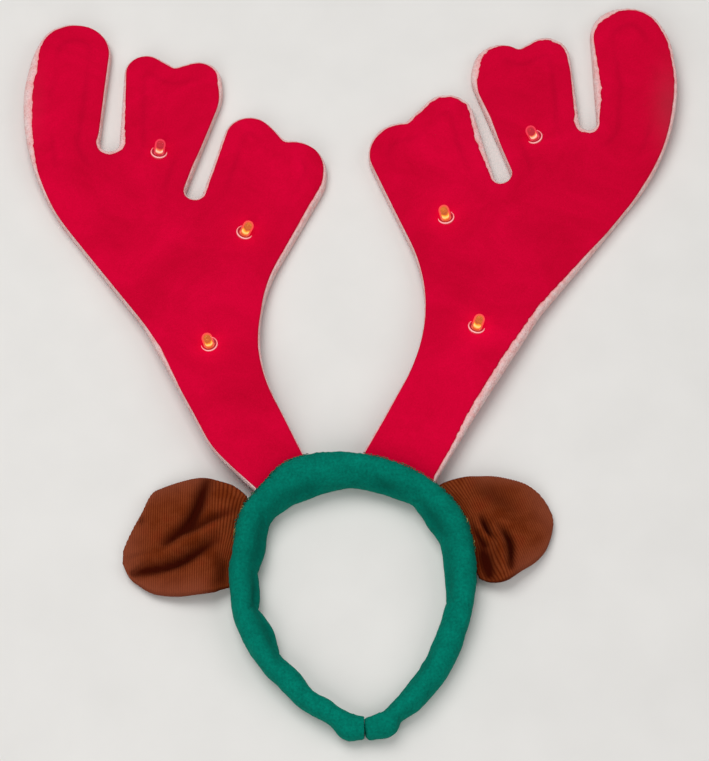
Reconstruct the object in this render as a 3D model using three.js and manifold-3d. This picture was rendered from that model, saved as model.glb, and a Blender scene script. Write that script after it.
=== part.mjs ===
// Light-up antler headband: a padded felt band, two foam antlers with lights, and two corduroy ears.
// Millimetres, +Z up. It lies on its back: the antlers' faces look up and their tips point along +Y.

import * as THREE from "three";
import { mergeVertices } from "three/addons/utils/BufferGeometryUtils.js";
import Module from "manifold-3d";

const wasm = await Module();
wasm.setup();

// The ring's middle is the drawing origin, and the whole is then moved to the middle of its footprint.
const FOOTPRINT_CENTRE = new THREE.Vector3(-2.0, 133.8, 0);
const GAP = 0.3; // clearance between neighbouring pieces
const WELD = 0.001; // points closer than this are one point

// Band: one row a section from the left end over the top to the right end.
// x, y: middle of the section; width: along the radius; depth: along Z; lip: sewn edge on the outside.
const BAND_SECTIONS = [
  { name: "left_end", x: 0.2, y: -70.8, width: 13.4, depth: 14.0, lip: 0 },
  { name: "left_tip", x: -12.9, y: -62.6, width: 12.4, depth: 15.0, lip: 0 },
  { name: "left_lower", x: -23.9, y: -55.6, width: 11.2, depth: 15.7, lip: 0 },
  { name: "left_low", x: -31.9, y: -46.7, width: 11.6, depth: 16.5, lip: 0 },
  { name: "left_pinch", x: -40.9, y: -36.8, width: 11.4, depth: 17.5, lip: 0 },
  { name: "left_bulge", x: -46.9, y: -24.2, width: 16.5, depth: 18.5, lip: 0 },
  { name: "left_dent", x: -53.3, y: -11.4, width: 13.6, depth: 19.0, lip: 0 },
  { name: "left_swell", x: -54.1, y: -1.1, width: 15.4, depth: 19.5, lip: 0 },
  { name: "left_crease", x: -54.6, y: 10.7, width: 13.9, depth: 20.0, lip: 0.4 },
  { name: "left_pad", x: -52.4, y: 20.6, width: 16.4, depth: 20.5, lip: 0.8 },
  { name: "left_upper", x: -49.3, y: 40.3, width: 15.2, depth: 21.0, lip: 1.2 },
  { name: "left_shoulder", x: -41.4, y: 50.5, width: 17.0, depth: 22.0, lip: 1.2 },
  { name: "top_left", x: -28.0, y: 59.6, width: 21.4, depth: 23.0, lip: 1.2 },
  { name: "top", x: -1.8, y: 64.9, width: 18.0, depth: 23.0, lip: 1.2 },
  { name: "top_right", x: 21.9, y: 60.5, width: 18.5, depth: 23.0, lip: 1.2 },
  { name: "right_shoulder", x: 35.3, y: 51.9, width: 15.8, depth: 22.0, lip: 1.2 },
  { name: "right_upper", x: 45.0, y: 40.2, width: 17.4, depth: 21.5, lip: 1.2 },
  { name: "right_pad", x: 51.7, y: 28.9, width: 17.1, depth: 21.0, lip: 0.8 },
  { name: "right_side", x: 53.9, y: 8.4, width: 16.0, depth: 20.0, lip: 0.4 },
  { name: "right_dent", x: 52.8, y: -8.7, width: 13.5, depth: 19.0, lip: 0 },
  { name: "right_low", x: 42.0, y: -36.7, width: 14.2, depth: 17.0, lip: 0 },
  { name: "right_lower", x: 27.3, y: -56.5, width: 12.9, depth: 16.0, lip: 0 },
  { name: "right_tip", x: 18.2, y: -65.8, width: 12.0, depth: 15.0, lip: 0 },
  { name: "right_end", x: 9.2, y: -71.0, width: 13.0, depth: 14.0, lip: 0 },
];
const BAND_STEPS = 3; // sections between two rows
const BAND_SIDES = 16; // corners of a section
const BAND_SQUARENESS = 0.85; // 1 is an ellipse, less is boxier
const BAND_FLAT = 1.0; // how much of the padding the surface under it presses flat
const BAND_CAP_LENGTH = 4.0; // roundness of the two ends
const BAND_CAP_RINGS = 2;

// Antler outline in its own frame, left and right mirrored: u outwards, v towards the tips.
// radius: of the rounded corner; rim_left, rim_right: how wide the bare foam shows in front.
const ANTLER_CORNERS = [
  { name: "knee", u: 34.5, v: 13.5, radius: 60, rim_left: 1.6, rim_right: 3.4 },
  { name: "waist_outer", u: 71.0, v: 80.0, radius: 60, rim_left: 1.8, rim_right: 4.2 },
  { name: "elbow", u: 142.5, v: 177.0, radius: 160, rim_left: 2.8, rim_right: 1.4 },
  { name: "main_tip_outer", u: 141.8, v: 270.8, radius: 28, rim_left: 4.0, rim_right: 1.0 },
  { name: "main_tip_inner", u: 94.0, v: 270.8, radius: 16, rim_left: 1.0, rim_right: 2.2 },
  { name: "slot_1_outer", u: 99.2, v: 190.4, radius: 4.7, rim_left: 0.9, rim_right: 3.4 },
  { name: "slot_1_inner", u: 88.6, v: 190.4, radius: 4.7, rim_left: 1.8, rim_right: 1.4 },
  { name: "mid_lobe_outer", u: 87.2, v: 260.2, radius: 10.5, rim_left: 1.2, rim_right: 1.0 },
  { name: "mid_notch", u: 60.0, v: 243.8, radius: 1.5, rim_left: 1.4, rim_right: 1.2 },
  { name: "mid_lobe_inner", u: 33.5, v: 251.6, radius: 12, rim_left: 2.2, rim_right: 2.8 },
  { name: "mid_flank", u: 32.3, v: 227.0, radius: 25, rim_left: 1.8, rim_right: 2.0 },
  { name: "slot_2_outer", u: 53.3, v: 160.8, radius: 4.1, rim_left: 0.9, rim_right: 1.8 },
  { name: "slot_2_inner", u: 44.0, v: 160.8, radius: 4.1, rim_left: 0.9, rim_right: 3.0 },
  { name: "inner_lobe_outer", u: 26.2, v: 225.6, radius: 13.5, rim_left: 0.9, rim_right: 2.6 },
  { name: "inner_notch", u: -1.5, v: 197.4, radius: 2, rim_left: 1.0, rim_right: 1.2 },
  { name: "inner_lobe_inner", u: -24.8, v: 193.4, radius: 18, rim_left: 1.8, rim_right: 1.0 },
  { name: "inner_flank", u: -24.6, v: 169.0, radius: 20, rim_left: 1.8, rim_right: 1.0 },
  { name: "waist_inner", u: 21.2, v: 80.0, radius: 93, rim_left: 1.8, rim_right: 1.0 },
];
// Where each antler is sewn in: its root point, its outward lean in degrees, and the two corners of
// its root, inside the band's seam, with the rim's width there.
const ANTLER_PLACES = [
  {
    side: "left", hand: -1, x: -38.0, y: 64.0, lean: 0, rim: 1.0,
    outer_u: 9.2, outer_v: -13.4, inner_u: -14.2, inner_v: 6.2,
  },
  {
    side: "right", hand: 1, x: 24.3, y: 78.4, lean: 2.34, rim: 1.6,
    outer_u: 17.0, outer_v: -21.5, inner_u: -21.1, inner_v: -8.2,
  },
];
const POCKET_RUN = 30; // the seam's pocket is cut from the root out through the band
const ARC_SAG = 0.3; // how far a chord may leave its arc
const SHEET_EDGE = 45; // longest edge inside a sheet
const CLOTH = 1.0; // velour facing
const FOAM = 5.0; // foam core
const LAYER_GAP = 0.4;
const CLOTH_ROLL = 0.5; // how far the facing's edge rounds in
const BACK_BASE = 0;
const FOAM_BASE = BACK_BASE + CLOTH + LAYER_GAP;
const FACE_BASE = FOAM_BASE + FOAM + LAYER_GAP;
const FACE_TOP = FACE_BASE + CLOTH;
// The sewn root is pressed thin and sits at the seam's height, and the sheet comes down from there.
const ROOT_PRESS = 0.7;
const PRESS_FROM = 12;
const PRESS_TO = 34;
const ROOT_LIFT = 7.2;
const LIFT_FROM = 14;
const LIFT_TO = 150;
// The outer edge of the main tine curls up.
const CURL_HEIGHT = 5;
const CURL_U_FROM = 96;
const CURL_U_TO = 150;
const CURL_V_FROM = 120;
const CURL_V_TO = 200;

// Lights in the antler's frame: lean_x and lean_y tip a light over, in degrees about its own Y and X.
const LIGHTS = [
  { name: "left_1", side: "left", u: 66.5, v: 187.5, lean_x: 0, lean_y: 2 },
  { name: "left_2", side: "left", u: 20.4, v: 136.7, lean_x: 11, lean_y: 0 },
  { name: "left_3", side: "left", u: 37.7, v: 71.4, lean_x: -3, lean_y: 0 },
  { name: "right_1", side: "right", u: 66.5, v: 187.5, lean_x: -10, lean_y: 0 },
  { name: "right_2", side: "right", u: 20.4, v: 136.7, lean_x: -6, lean_y: 0 },
  { name: "right_3", side: "right", u: 37.7, v: 71.4, lean_x: 8, lean_y: 0 },
];
const LED_RADIUS = 2.5;
const LED_FLANGE = 2.9;
const LED_FLANGE_HEIGHT = 1.0;
const LED_SUNK = 3.0; // depth of its foot below the velour
const LED_BARREL = 4.2; // height of the straight part above the velour
const LED_SIDES = 12;
const LED_DOME_STEPS = 3;
const LED_HOLE = 3.6;
const LED_HOLE_DEPTH = 4.0;
const COLLAR_INNER = 3.2;
const COLLAR_OUTER = 4.3;
const COLLAR_HEIGHT = 1.5;
const COLLAR_CHAMFER = 0.4;
const COLLAR_GAP = 0.5;

// Ears: sections across the ribs, a row each from the seam to the tip, in the ear's own frame.
// across: outwards from the seam; low, high: where the section's lower and upper edges are.
const EAR_SECTIONS = {
  left: [
    { across: -2.6, low: -1.0, high: 25.5 },
    { across: 2.4, low: -3.0, high: 31.8 },
    { across: 4.2, low: -20.5, high: 33.2 },
    { across: 8.0, low: -25.2, high: 35.2 },
    { across: 18.0, low: -26.8, high: 36.4 },
    { across: 28.0, low: -27.0, high: 35.0 },
    { across: 38.0, low: -25.0, high: 32.6 },
    { across: 42.0, low: -23.4, high: 30.2 },
    { across: 48.0, low: -19.6, high: 19.2 },
    { across: 53.0, low: -14.8, high: 7.2 },
    { across: 56.6, low: -6.5, high: -2.0 },
  ],
  right: [
    { across: -3.6, low: 2.0, high: 27.5 },
    { across: 0.4, low: -2.0, high: 31.0 },
    { across: 3.0, low: -26.5, high: 31.6 },
    { across: 8.0, low: -28.0, high: 31.3 },
    { across: 16.0, low: -26.7, high: 29.0 },
    { across: 24.0, low: -24.2, high: 27.6 },
    { across: 32.0, low: -19.6, high: 23.4 },
    { across: 38.0, low: -14.2, high: 16.8 },
    { across: 42.0, low: -9.0, high: 9.0 },
    { across: 44.0, low: -3.6, high: 1.6 },
  ],
};
const EAR_PLACES = [
  { side: "left", hand: -1, x: -60.0, y: 25.0, turn: 0 },
  { side: "right", hand: 1, x: 59.0, y: 30.0, turn: 22 },
];
// Folds and gathers: a bent line through three points, raised (or sunk, below 0) by height over width.
const EAR_FOLDS = [
  { ear: "left", a1: 15, b1: 33, a2: 24, b2: 11, a3: 33, b3: 2, height: -3.4, width: 5.0 },
  { ear: "left", a1: 52, b1: -10, a2: 28, b2: -1.6, a3: 3, b3: 12.5, height: 4.6, width: 4.6 },
  { ear: "left", a1: 51, b1: -14, a2: 27, b2: -9, a3: 10, b3: 3, height: -3.4, width: 4.2 },
  { ear: "left", a1: 22, b1: 6, a2: 15, b2: 12, a3: 3, b3: 18, height: -2.4, width: 3.4 },
  { ear: "right", a1: 9, b1: 4, a2: 9, b2: -1.5, a3: 10, b3: -6, height: -4.0, width: 2.8 },
  { ear: "right", a1: 11.5, b1: 0, a2: 12, b2: -8.5, a3: 8.5, b3: -23, height: 4.4, width: 3.2 },
  { ear: "right", a1: 15, b1: -2, a2: 16.5, b2: -11, a3: 13, b3: -24, height: -3.4, width: 3.6 },
  { ear: "right", a1: 13.5, b1: 0.5, a2: 19, b2: -2, a3: 25, b3: -5, height: 2.2, width: 4.0 },
  { ear: "right", a1: 4, b1: 8, a2: 5, b2: -1, a3: 7.5, b3: -5, height: 2.6, width: 2.4 },
  { ear: "right", a1: 4.5, b1: -8, a2: 4, b2: -16, a3: 3, b3: -25, height: -3.4, width: 3.6 },
];
const EAR_COLUMNS = 18;
const EAR_ROWS = 13;
const EAR_THICKNESS = 4.6; // both layers and the loft between them
const EAR_EDGE = 1.6; // at the sewn rim
const EAR_SEAM_HEIGHT = 9.6; // middle of the ear where it leaves the seam
const EAR_TIP_HEIGHT = 2.4;
const EAR_CUP = 4.0; // how far the upper and lower rims stand up
const EAR_SIDE_LOFT = 4; // the higher, the closer to the rim the ear stays full
const EAR_TIP_LOFT = 6;
const EAR_SEAM_REACH = 12; // the ear leaves the seam flat over this length
const FOLD_SAMPLES = 16;

// Finishes
const FELT = { color: 0x007a66, roughness: 0.95, metalness: 0 };
const VELOUR = { color: 0xc8002d, roughness: 0.9, metalness: 0 };
const RAW_FOAM = { color: 0xe9cdcb, roughness: 0.85, metalness: 0 };
const CORDUROY = { color: 0x6f3420, roughness: 0.95, metalness: 0 };
const LENS = { color: 0xf08a2a, roughness: 0.15, metalness: 0 };
const CLEAR_PLASTIC = { color: 0xe6a79a, roughness: 0.2, metalness: 0 };

// Common shapes

function ease(from, to, value) {
  return THREE.MathUtils.smoothstep(value, from, to);
}

function solidOf(geometry) {
  const bare = geometry.clone();
  bare.deleteAttribute("normal");
  bare.deleteAttribute("uv");
  const merged = mergeVertices(bare, WELD);
  const vertProperties = new Float32Array(merged.attributes.position.array);
  const triVerts = new Uint32Array(merged.index.array);
  return new wasm.Manifold(new wasm.Mesh({ numProp: 3, vertProperties, triVerts }));
}

function geometryOf(solid) {
  const mesh = solid.getMesh();
  const geometry = new THREE.BufferGeometry();
  geometry.setAttribute("position", new THREE.BufferAttribute(mesh.vertProperties, 3));
  geometry.setIndex(new THREE.BufferAttribute(mesh.triVerts, 1));
  return geometry;
}

function pieceOf(name, geometry, finish) {
  geometry.computeVertexNormals();
  const mesh = new THREE.Mesh(geometry, new THREE.MeshStandardMaterial(finish));
  mesh.name = name;
  return mesh;
}

// A closed skin over rings of equal size, each end closed by a fan to its pole.
function skinOf(rings, firstPole, lastPole) {
  const sides = rings[0].length;
  const points = [firstPole, ...rings.flat(), lastPole];
  const last = points.length - 1;
  const triangles = [];
  for (let side = 0; side < sides; side++) {
    const next = (side + 1) % sides;
    triangles.push(0, 1 + next, 1 + side);
    for (let ring = 0; ring < rings.length - 1; ring++) {
      const here = 1 + ring * sides;
      const there = here + sides;
      triangles.push(here + side, here + next, there + side);
      triangles.push(here + next, there + next, there + side);
    }
    const end = 1 + (rings.length - 1) * sides;
    triangles.push(end + side, end + next, last);
  }
  const geometry = new THREE.BufferGeometry().setFromPoints(points);
  geometry.setIndex(triangles);
  return geometry;
}

// Band

const bandCentre = new THREE.CatmullRomCurve3(
  BAND_SECTIONS.map((row) => new THREE.Vector3(row.x, row.y, 0)),
);
const bandSize = new THREE.CatmullRomCurve3(
  BAND_SECTIONS.map((row) => new THREE.Vector3(row.width, row.depth, row.lip)),
  false,
  "catmullrom",
);

function rounded(value) {
  return Math.sign(value) * Math.abs(value) ** BAND_SQUARENESS;
}

// One section of the band: outward lies to the left of the way from the left end to the right one.
function bandRing(at, shrink, advance) {
  const centre = bandCentre.getPoint(at);
  const along = bandCentre.getTangent(at);
  const outward = new THREE.Vector3(-along.y, along.x, 0);
  const { x: width, y: depth, z: lip } = bandSize.getPoint(at);
  const middle = depth / 2 - BAND_FLAT;
  const ring = [];
  for (let side = 0; side < BAND_SIDES; side++) {
    const angle = (side / BAND_SIDES) * Math.PI * 2;
    const edge = side === 0 ? lip : 0;
    const reach = (rounded(Math.cos(angle)) * width) / 2 + edge;
    const rise = (rounded(Math.sin(angle)) * depth) / 2;
    const point = centre.clone().addScaledVector(along, advance);
    point.addScaledVector(outward, reach * shrink);
    point.z = Math.max(0, middle + rise * shrink);
    ring.push(point);
  }
  return ring;
}

function bandPole(at, advance) {
  const pole = bandCentre.getPoint(at).addScaledVector(bandCentre.getTangent(at), advance);
  pole.z = bandSize.getPoint(at).y / 2 - BAND_FLAT;
  return pole;
}

function bandGeometry() {
  const rings = [];
  const steps = (BAND_SECTIONS.length - 1) * BAND_STEPS;
  for (let step = 0; step <= steps; step++) {
    rings.push(bandRing(step / steps, 1, 0));
  }
  for (let ring = 1; ring <= BAND_CAP_RINGS; ring++) {
    const angle = (ring / (BAND_CAP_RINGS + 1)) * (Math.PI / 2);
    const advance = BAND_CAP_LENGTH * Math.sin(angle);
    rings.unshift(bandRing(0, Math.cos(angle), -advance));
    rings.push(bandRing(1, Math.cos(angle), advance));
  }
  return skinOf(rings, bandPole(0, -BAND_CAP_LENGTH), bandPole(1, BAND_CAP_LENGTH));
}

// Antlers

// The points that round one corner, from the edge before it to the edge after it.
function roundCorner(before, corner, after) {
  const back = before.point.clone().sub(corner.point).normalize();
  const on = after.point.clone().sub(corner.point).normalize();
  const half = back.angleTo(on) / 2;
  const middle = back.clone().add(on).normalize();
  const centre = corner.point.clone().addScaledVector(middle, corner.radius / Math.sin(half));
  const start = corner.point.clone().addScaledVector(back, corner.radius / Math.tan(half)).sub(centre);
  const turn = Math.sign(on.cross(back)) * (Math.PI - 2 * half);
  const chord = 2 * Math.acos(1 - ARC_SAG / corner.radius);
  const count = Math.max(2, Math.ceil(Math.abs(turn) / chord));
  const points = [];
  for (let step = 0; step <= count; step++) {
    const arm = start.clone().rotateAround(new THREE.Vector2(), (step / count) * turn);
    points.push({ point: centre.clone().add(arm), rim: corner.rim });
  }
  return points;
}

// The outline of one antler as points with the rim's width at each, from its outer to its inner root.
function antlerOutline(place) {
  const corners = ANTLER_CORNERS.map((row) => ({
    point: new THREE.Vector2(row.u, row.v),
    radius: row.radius,
    rim: row[`rim_${place.side}`],
  }));
  corners.unshift({ point: new THREE.Vector2(place.outer_u, place.outer_v), rim: place.rim });
  corners.push({ point: new THREE.Vector2(place.inner_u, place.inner_v), rim: place.rim });
  const outline = [corners[0]];
  for (let index = 1; index < corners.length - 1; index++) {
    outline.push(...roundCorner(corners[index - 1], corners[index], corners[index + 1]));
  }
  outline.push(corners.at(-1));
  return outline;
}

// The outline drawn in by a width of its own at each point.
function drawnIn(outline, widthAt) {
  return outline.map((here, index) => {
    const before = outline[(index + outline.length - 1) % outline.length].point;
    const after = outline[(index + 1) % outline.length].point;
    const way = after.clone().sub(before).normalize();
    const inward = new THREE.Vector2(-way.y, way.x);
    return here.point.clone().addScaledVector(inward, widthAt(here));
  });
}

// Halves every edge longer than SHEET_EDGE, at one middle point for both triangles that share it.
function refine(points, triangles) {
  const middles = new Map();
  const lengthOf = ([p, q]) => points[p].distanceTo(points[q]);
  const middleOf = (p, q) => {
    const key = `${Math.min(p, q)}_${Math.max(p, q)}`;
    if (!middles.has(key)) {
      middles.set(key, points.push(points[p].clone().lerp(points[q], 0.5)) - 1);
    }
    return middles.get(key);
  };
  const waiting = [...triangles];
  const done = [];
  while (waiting.length > 0) {
    const [a, b, c] = waiting.pop();
    const turns = [[a, b, c], [b, c, a], [c, a, b]];
    turns.sort((one, other) => lengthOf(other) - lengthOf(one));
    const [p, q, r] = turns[0];
    if (lengthOf([p, q]) > SHEET_EDGE) {
      const m = middleOf(p, q);
      waiting.push([p, m, r], [m, q, r]);
    } else {
      done.push([a, b, c]);
    }
  }
  return done;
}

// A flat sheet between a lower and an upper contour, with points enough inside it to be bent.
function sheetGeometry(lower, upper, base, top) {
  const count = lower.length;
  const points = [
    ...lower.map((point) => new THREE.Vector3(point.x, point.y, base)),
    ...upper.map((point) => new THREE.Vector3(point.x, point.y, top)),
  ];
  const upward = (contour, [a, b, c]) => {
    const turn = contour[b].clone().sub(contour[a]).cross(contour[c].clone().sub(contour[a]));
    return turn > 0 ? [a, b, c] : [a, c, b];
  };
  const triangles = [];
  for (const triangle of THREE.ShapeUtils.triangulateShape(lower, [])) {
    triangles.push(upward(lower, triangle).reverse());
  }
  for (const triangle of THREE.ShapeUtils.triangulateShape(upper, [])) {
    triangles.push(upward(upper, triangle).map((index) => index + count));
  }
  for (let index = 0; index < count; index++) {
    const next = (index + 1) % count;
    triangles.push([index, next, count + next], [index, count + next, count + index]);
  }
  const fine = refine(points, triangles);
  const geometry = new THREE.BufferGeometry().setFromPoints(points);
  geometry.setIndex(fine.flat());
  return geometry;
}

function restHeight(u, v) {
  const lift = ROOT_LIFT * (1 - ease(LIFT_FROM, LIFT_TO, v));
  const curl = CURL_HEIGHT * ease(CURL_U_FROM, CURL_U_TO, u) * ease(CURL_V_FROM, CURL_V_TO, v);
  return lift + curl;
}

function pressAt(v) {
  return THREE.MathUtils.lerp(ROOT_PRESS, 1, ease(PRESS_FROM, PRESS_TO, v));
}

// Bends a sheet to its resting form, and mirrors it for the left hand.
function layDown(geometry, hand) {
  const position = geometry.attributes.position;
  for (let index = 0; index < position.count; index++) {
    const u = position.getX(index);
    const v = position.getY(index);
    position.setXYZ(index, u * hand, v, restHeight(u, v) + position.getZ(index) * pressAt(v));
  }
  const triangles = geometry.index.array;
  for (let index = 0; hand < 0 && index < triangles.length; index += 3) {
    [triangles[index], triangles[index + 1]] = [triangles[index + 1], triangles[index]];
  }
  return geometry;
}

function lightPose(light, hand) {
  const step = 1;
  const height = (u, v) => restHeight(u, v) + FACE_TOP * pressAt(v);
  const slopeU = height(light.u + step, light.v) - height(light.u - step, light.v);
  const slopeV = height(light.u, light.v + step) - height(light.u, light.v - step);
  const normal = new THREE.Vector3(-slopeU * hand, -slopeV, 2 * step).normalize();
  const pose = new THREE.Group();
  pose.position.set(light.u * hand, light.v, height(light.u, light.v));
  pose.quaternion.setFromUnitVectors(new THREE.Vector3(0, 0, 1), normal);
  pose.updateMatrix();
  return pose;
}

function lightHole(light, hand) {
  const hole = new THREE.CylinderGeometry(LED_HOLE, LED_HOLE, 2 * LED_HOLE_DEPTH, LED_SIDES);
  hole.rotateX(Math.PI / 2);
  hole.applyMatrix4(lightPose(light, hand).matrix);
  return solidOf(hole);
}

function ledGeometry() {
  const profile = [
    new THREE.Vector2(0, -LED_SUNK),
    new THREE.Vector2(LED_FLANGE, -LED_SUNK),
    new THREE.Vector2(LED_FLANGE, LED_FLANGE_HEIGHT - LED_SUNK),
    new THREE.Vector2(LED_RADIUS, LED_FLANGE_HEIGHT - LED_SUNK),
  ];
  for (let step = 0; step < LED_DOME_STEPS; step++) {
    const angle = (step / LED_DOME_STEPS) * (Math.PI / 2);
    profile.push(new THREE.Vector2(LED_RADIUS * Math.cos(angle), LED_BARREL + LED_RADIUS * Math.sin(angle)));
  }
  profile.push(new THREE.Vector2(0, LED_BARREL + LED_RADIUS));
  return new THREE.LatheGeometry(profile, LED_SIDES).rotateX(Math.PI / 2);
}

function collarGeometry() {
  const profile = [
    new THREE.Vector2(COLLAR_INNER, COLLAR_GAP),
    new THREE.Vector2(COLLAR_OUTER, COLLAR_GAP),
    new THREE.Vector2(COLLAR_OUTER, COLLAR_GAP + COLLAR_HEIGHT - COLLAR_CHAMFER),
    new THREE.Vector2(COLLAR_OUTER - COLLAR_CHAMFER, COLLAR_GAP + COLLAR_HEIGHT),
    new THREE.Vector2(COLLAR_INNER, COLLAR_GAP + COLLAR_HEIGHT),
    new THREE.Vector2(COLLAR_INNER, COLLAR_GAP),
  ];
  return new THREE.LatheGeometry(profile, LED_SIDES).rotateX(Math.PI / 2);
}

function closedLathe(geometry) {
  geometry.deleteAttribute("normal");
  geometry.deleteAttribute("uv");
  return mergeVertices(geometry, WELD);
}

function antlerMatrix(place) {
  const turned = new THREE.Matrix4().makeRotationZ(-THREE.MathUtils.degToRad(place.lean) * place.hand);
  return turned.setPosition(place.x, place.y, 0);
}

function antlerGroup(place) {
  const { side, hand } = place;
  const outline = antlerOutline(place);
  const full = outline.map((here) => here.point);
  const front = drawnIn(outline, (here) => here.rim);
  const rolled = drawnIn(outline, (here) => here.rim + CLOTH_ROLL);
  const back = layDown(sheetGeometry(full, full, BACK_BASE, BACK_BASE + CLOTH), hand);
  let foam = solidOf(layDown(sheetGeometry(full, front, FOAM_BASE, FOAM_BASE + FOAM), hand));
  let face = solidOf(layDown(sheetGeometry(front, rolled, FACE_BASE, FACE_TOP), hand));
  const group = new THREE.Group();
  for (const light of LIGHTS.filter((row) => row.side === side)) {
    const hole = lightHole(light, hand);
    foam = foam.subtract(hole);
    face = face.subtract(hole);
    const pose = lightPose(light, hand);
    const led = pieceOf(`led_${light.name}`, closedLathe(ledGeometry()), LENS);
    led.rotation.y = THREE.MathUtils.degToRad(light.lean_x);
    led.rotation.x = THREE.MathUtils.degToRad(-light.lean_y);
    const collar = pieceOf(`led_collar_${light.name}`, closedLathe(collarGeometry()), CLEAR_PLASTIC);
    pose.add(led, collar);
    group.add(pose);
  }
  group.add(pieceOf(`antler_back_${side}`, back, VELOUR));
  group.add(pieceOf(`antler_foam_${side}`, geometryOf(foam), RAW_FOAM));
  group.add(pieceOf(`antler_face_${side}`, geometryOf(face), VELOUR));
  group.applyMatrix4(antlerMatrix(place));
  return group;
}

// The pocket in the band's seam that an antler's root sits in.
function antlerPocket(place) {
  const outline = antlerOutline(place);
  const outer = outline[0].point;
  const inner = outline.at(-1).point;
  const outerOn = outline[1].point.clone().sub(outer).normalize();
  const innerOn = outline.at(-2).point.clone().sub(inner).normalize();
  const across = outer.clone().sub(inner).normalize();
  const outerFoot = outer.clone().addScaledVector(across, GAP);
  const innerFoot = inner.clone().addScaledVector(across, -GAP);
  const corners = [
    innerFoot.clone().addScaledVector(innerOn, -GAP),
    outerFoot.clone().addScaledVector(outerOn, -GAP),
    outerFoot.clone().addScaledVector(outerOn, POCKET_RUN),
    innerFoot.clone().addScaledVector(innerOn, POCKET_RUN),
  ];
  const shape = new THREE.Shape(corners);
  const depth = FACE_TOP * ROOT_PRESS + 2 * GAP;
  const block = new THREE.ExtrudeGeometry(shape, { depth, bevelEnabled: false });
  block.translate(0, 0, ROOT_LIFT - GAP);
  const solid = solidOf(block);
  const handed = place.hand < 0 ? solid.mirror([1, 0, 0]) : solid;
  return handed.transform(antlerMatrix(place).elements);
}

// Ears

function foldHeight(folds, a, b) {
  const here = new THREE.Vector3(a, b, 0);
  let height = 0;
  for (const fold of folds) {
    const away = Math.min(...fold.points.map((point) => point.distanceTo(here)));
    height += fold.height * Math.exp(-((away / fold.width) ** 2));
  }
  return height;
}

function earFolds(side) {
  return EAR_FOLDS.filter((row) => row.ear === side).map((row) => {
    const line = new THREE.CatmullRomCurve3([
      new THREE.Vector3(row.a1, row.b1, 0),
      new THREE.Vector3(row.a2, row.b2, 0),
      new THREE.Vector3(row.a3, row.b3, 0),
    ]);
    return { height: row.height, width: row.width, points: line.getPoints(FOLD_SAMPLES) };
  });
}

function loft(share, fullness) {
  return Math.sqrt(Math.max(0, 1 - Math.abs(share) ** fullness));
}

// Two puffed layers over a grid of columns (across the ribs) and rows (along them), joined round the rim.
// grow makes it larger all round, for the pocket that its sewn edge sits in.
function earGeometry(place, grow) {
  const rows = EAR_SECTIONS[place.side];
  const folds = earFolds(place.side);
  const sections = new THREE.CatmullRomCurve3(
    rows.map((row) => new THREE.Vector3(row.across, row.low, row.high)),
  );
  const tip = rows.at(-1).across;
  const top = [];
  const bottom = [];
  for (let column = 0; column <= EAR_COLUMNS; column++) {
    const { x: across, y: lower, z: upper } = sections.getPoint(column / EAR_COLUMNS);
    const a = across + (column === 0 ? -grow : 0) + (column === EAR_COLUMNS ? grow : 0);
    const low = lower - grow;
    const high = upper + grow;
    const base = THREE.MathUtils.lerp(EAR_SEAM_HEIGHT, EAR_TIP_HEIGHT, ease(0, tip, a));
    const freed = ease(0, EAR_SEAM_REACH, a);
    for (let row = 0; row <= EAR_ROWS; row++) {
      const share = row / EAR_ROWS;
      const b = THREE.MathUtils.lerp(low, high, share);
      const side = 2 * share - 1;
      const puff = loft(side, EAR_SIDE_LOFT) * loft(a / tip, EAR_TIP_LOFT);
      const thick = THREE.MathUtils.lerp(EAR_EDGE, EAR_THICKNESS, puff * freed);
      const middle = base + (EAR_CUP * side ** 2 * puff + foldHeight(folds, a, b)) * freed;
      const under = Math.max(0, middle - thick / 2);
      top.push(new THREE.Vector3(a * place.hand, b, under + thick + grow));
      bottom.push(new THREE.Vector3(a * place.hand, b, under - grow));
    }
  }
  const stride = EAR_ROWS + 1;
  const shift = top.length;
  const triangles = [];
  const quad = (p, q, r, s) => triangles.push(p, q, r, p, r, s);
  for (let column = 0; column < EAR_COLUMNS; column++) {
    for (let row = 0; row < EAR_ROWS; row++) {
      const corner = column * stride + row;
      quad(corner, corner + stride, corner + stride + 1, corner + 1);
      quad(shift + corner, shift + corner + 1, shift + corner + stride + 1, shift + corner + stride);
    }
    const low = column * stride;
    const high = low + EAR_ROWS;
    quad(shift + low, shift + low + stride, low + stride, low);
    quad(high, high + stride, shift + high + stride, shift + high);
  }
  for (let row = 0; row < EAR_ROWS; row++) {
    const seam = row;
    const end = EAR_COLUMNS * stride + row;
    quad(seam, seam + 1, shift + seam + 1, shift + seam);
    quad(shift + end, shift + end + 1, end + 1, end);
  }
  if (place.hand < 0) {
    triangles.reverse();
  }
  const geometry = new THREE.BufferGeometry().setFromPoints([...top, ...bottom]);
  geometry.setIndex(triangles);
  return geometry;
}

function earMatrix(place) {
  const turned = new THREE.Matrix4().makeRotationZ(THREE.MathUtils.degToRad(place.turn) * place.hand);
  return turned.setPosition(place.x, place.y, 0);
}

function earGroup(place) {
  const group = new THREE.Group();
  group.add(pieceOf(`ear_${place.side}`, earGeometry(place, 0), CORDUROY));
  group.applyMatrix4(earMatrix(place));
  return group;
}

// Assembly

const headband = new THREE.Group();
let band = solidOf(bandGeometry());
for (const place of ANTLER_PLACES) {
  band = band.subtract(antlerPocket(place));
  headband.add(antlerGroup(place));
}
for (const place of EAR_PLACES) {
  band = band.subtract(solidOf(earGeometry(place, GAP).applyMatrix4(earMatrix(place))));
  headband.add(earGroup(place));
}
headband.add(pieceOf("band", geometryOf(band), FELT));
headband.position.copy(FOOTPRINT_CENTRE).negate();

export default headband;
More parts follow.
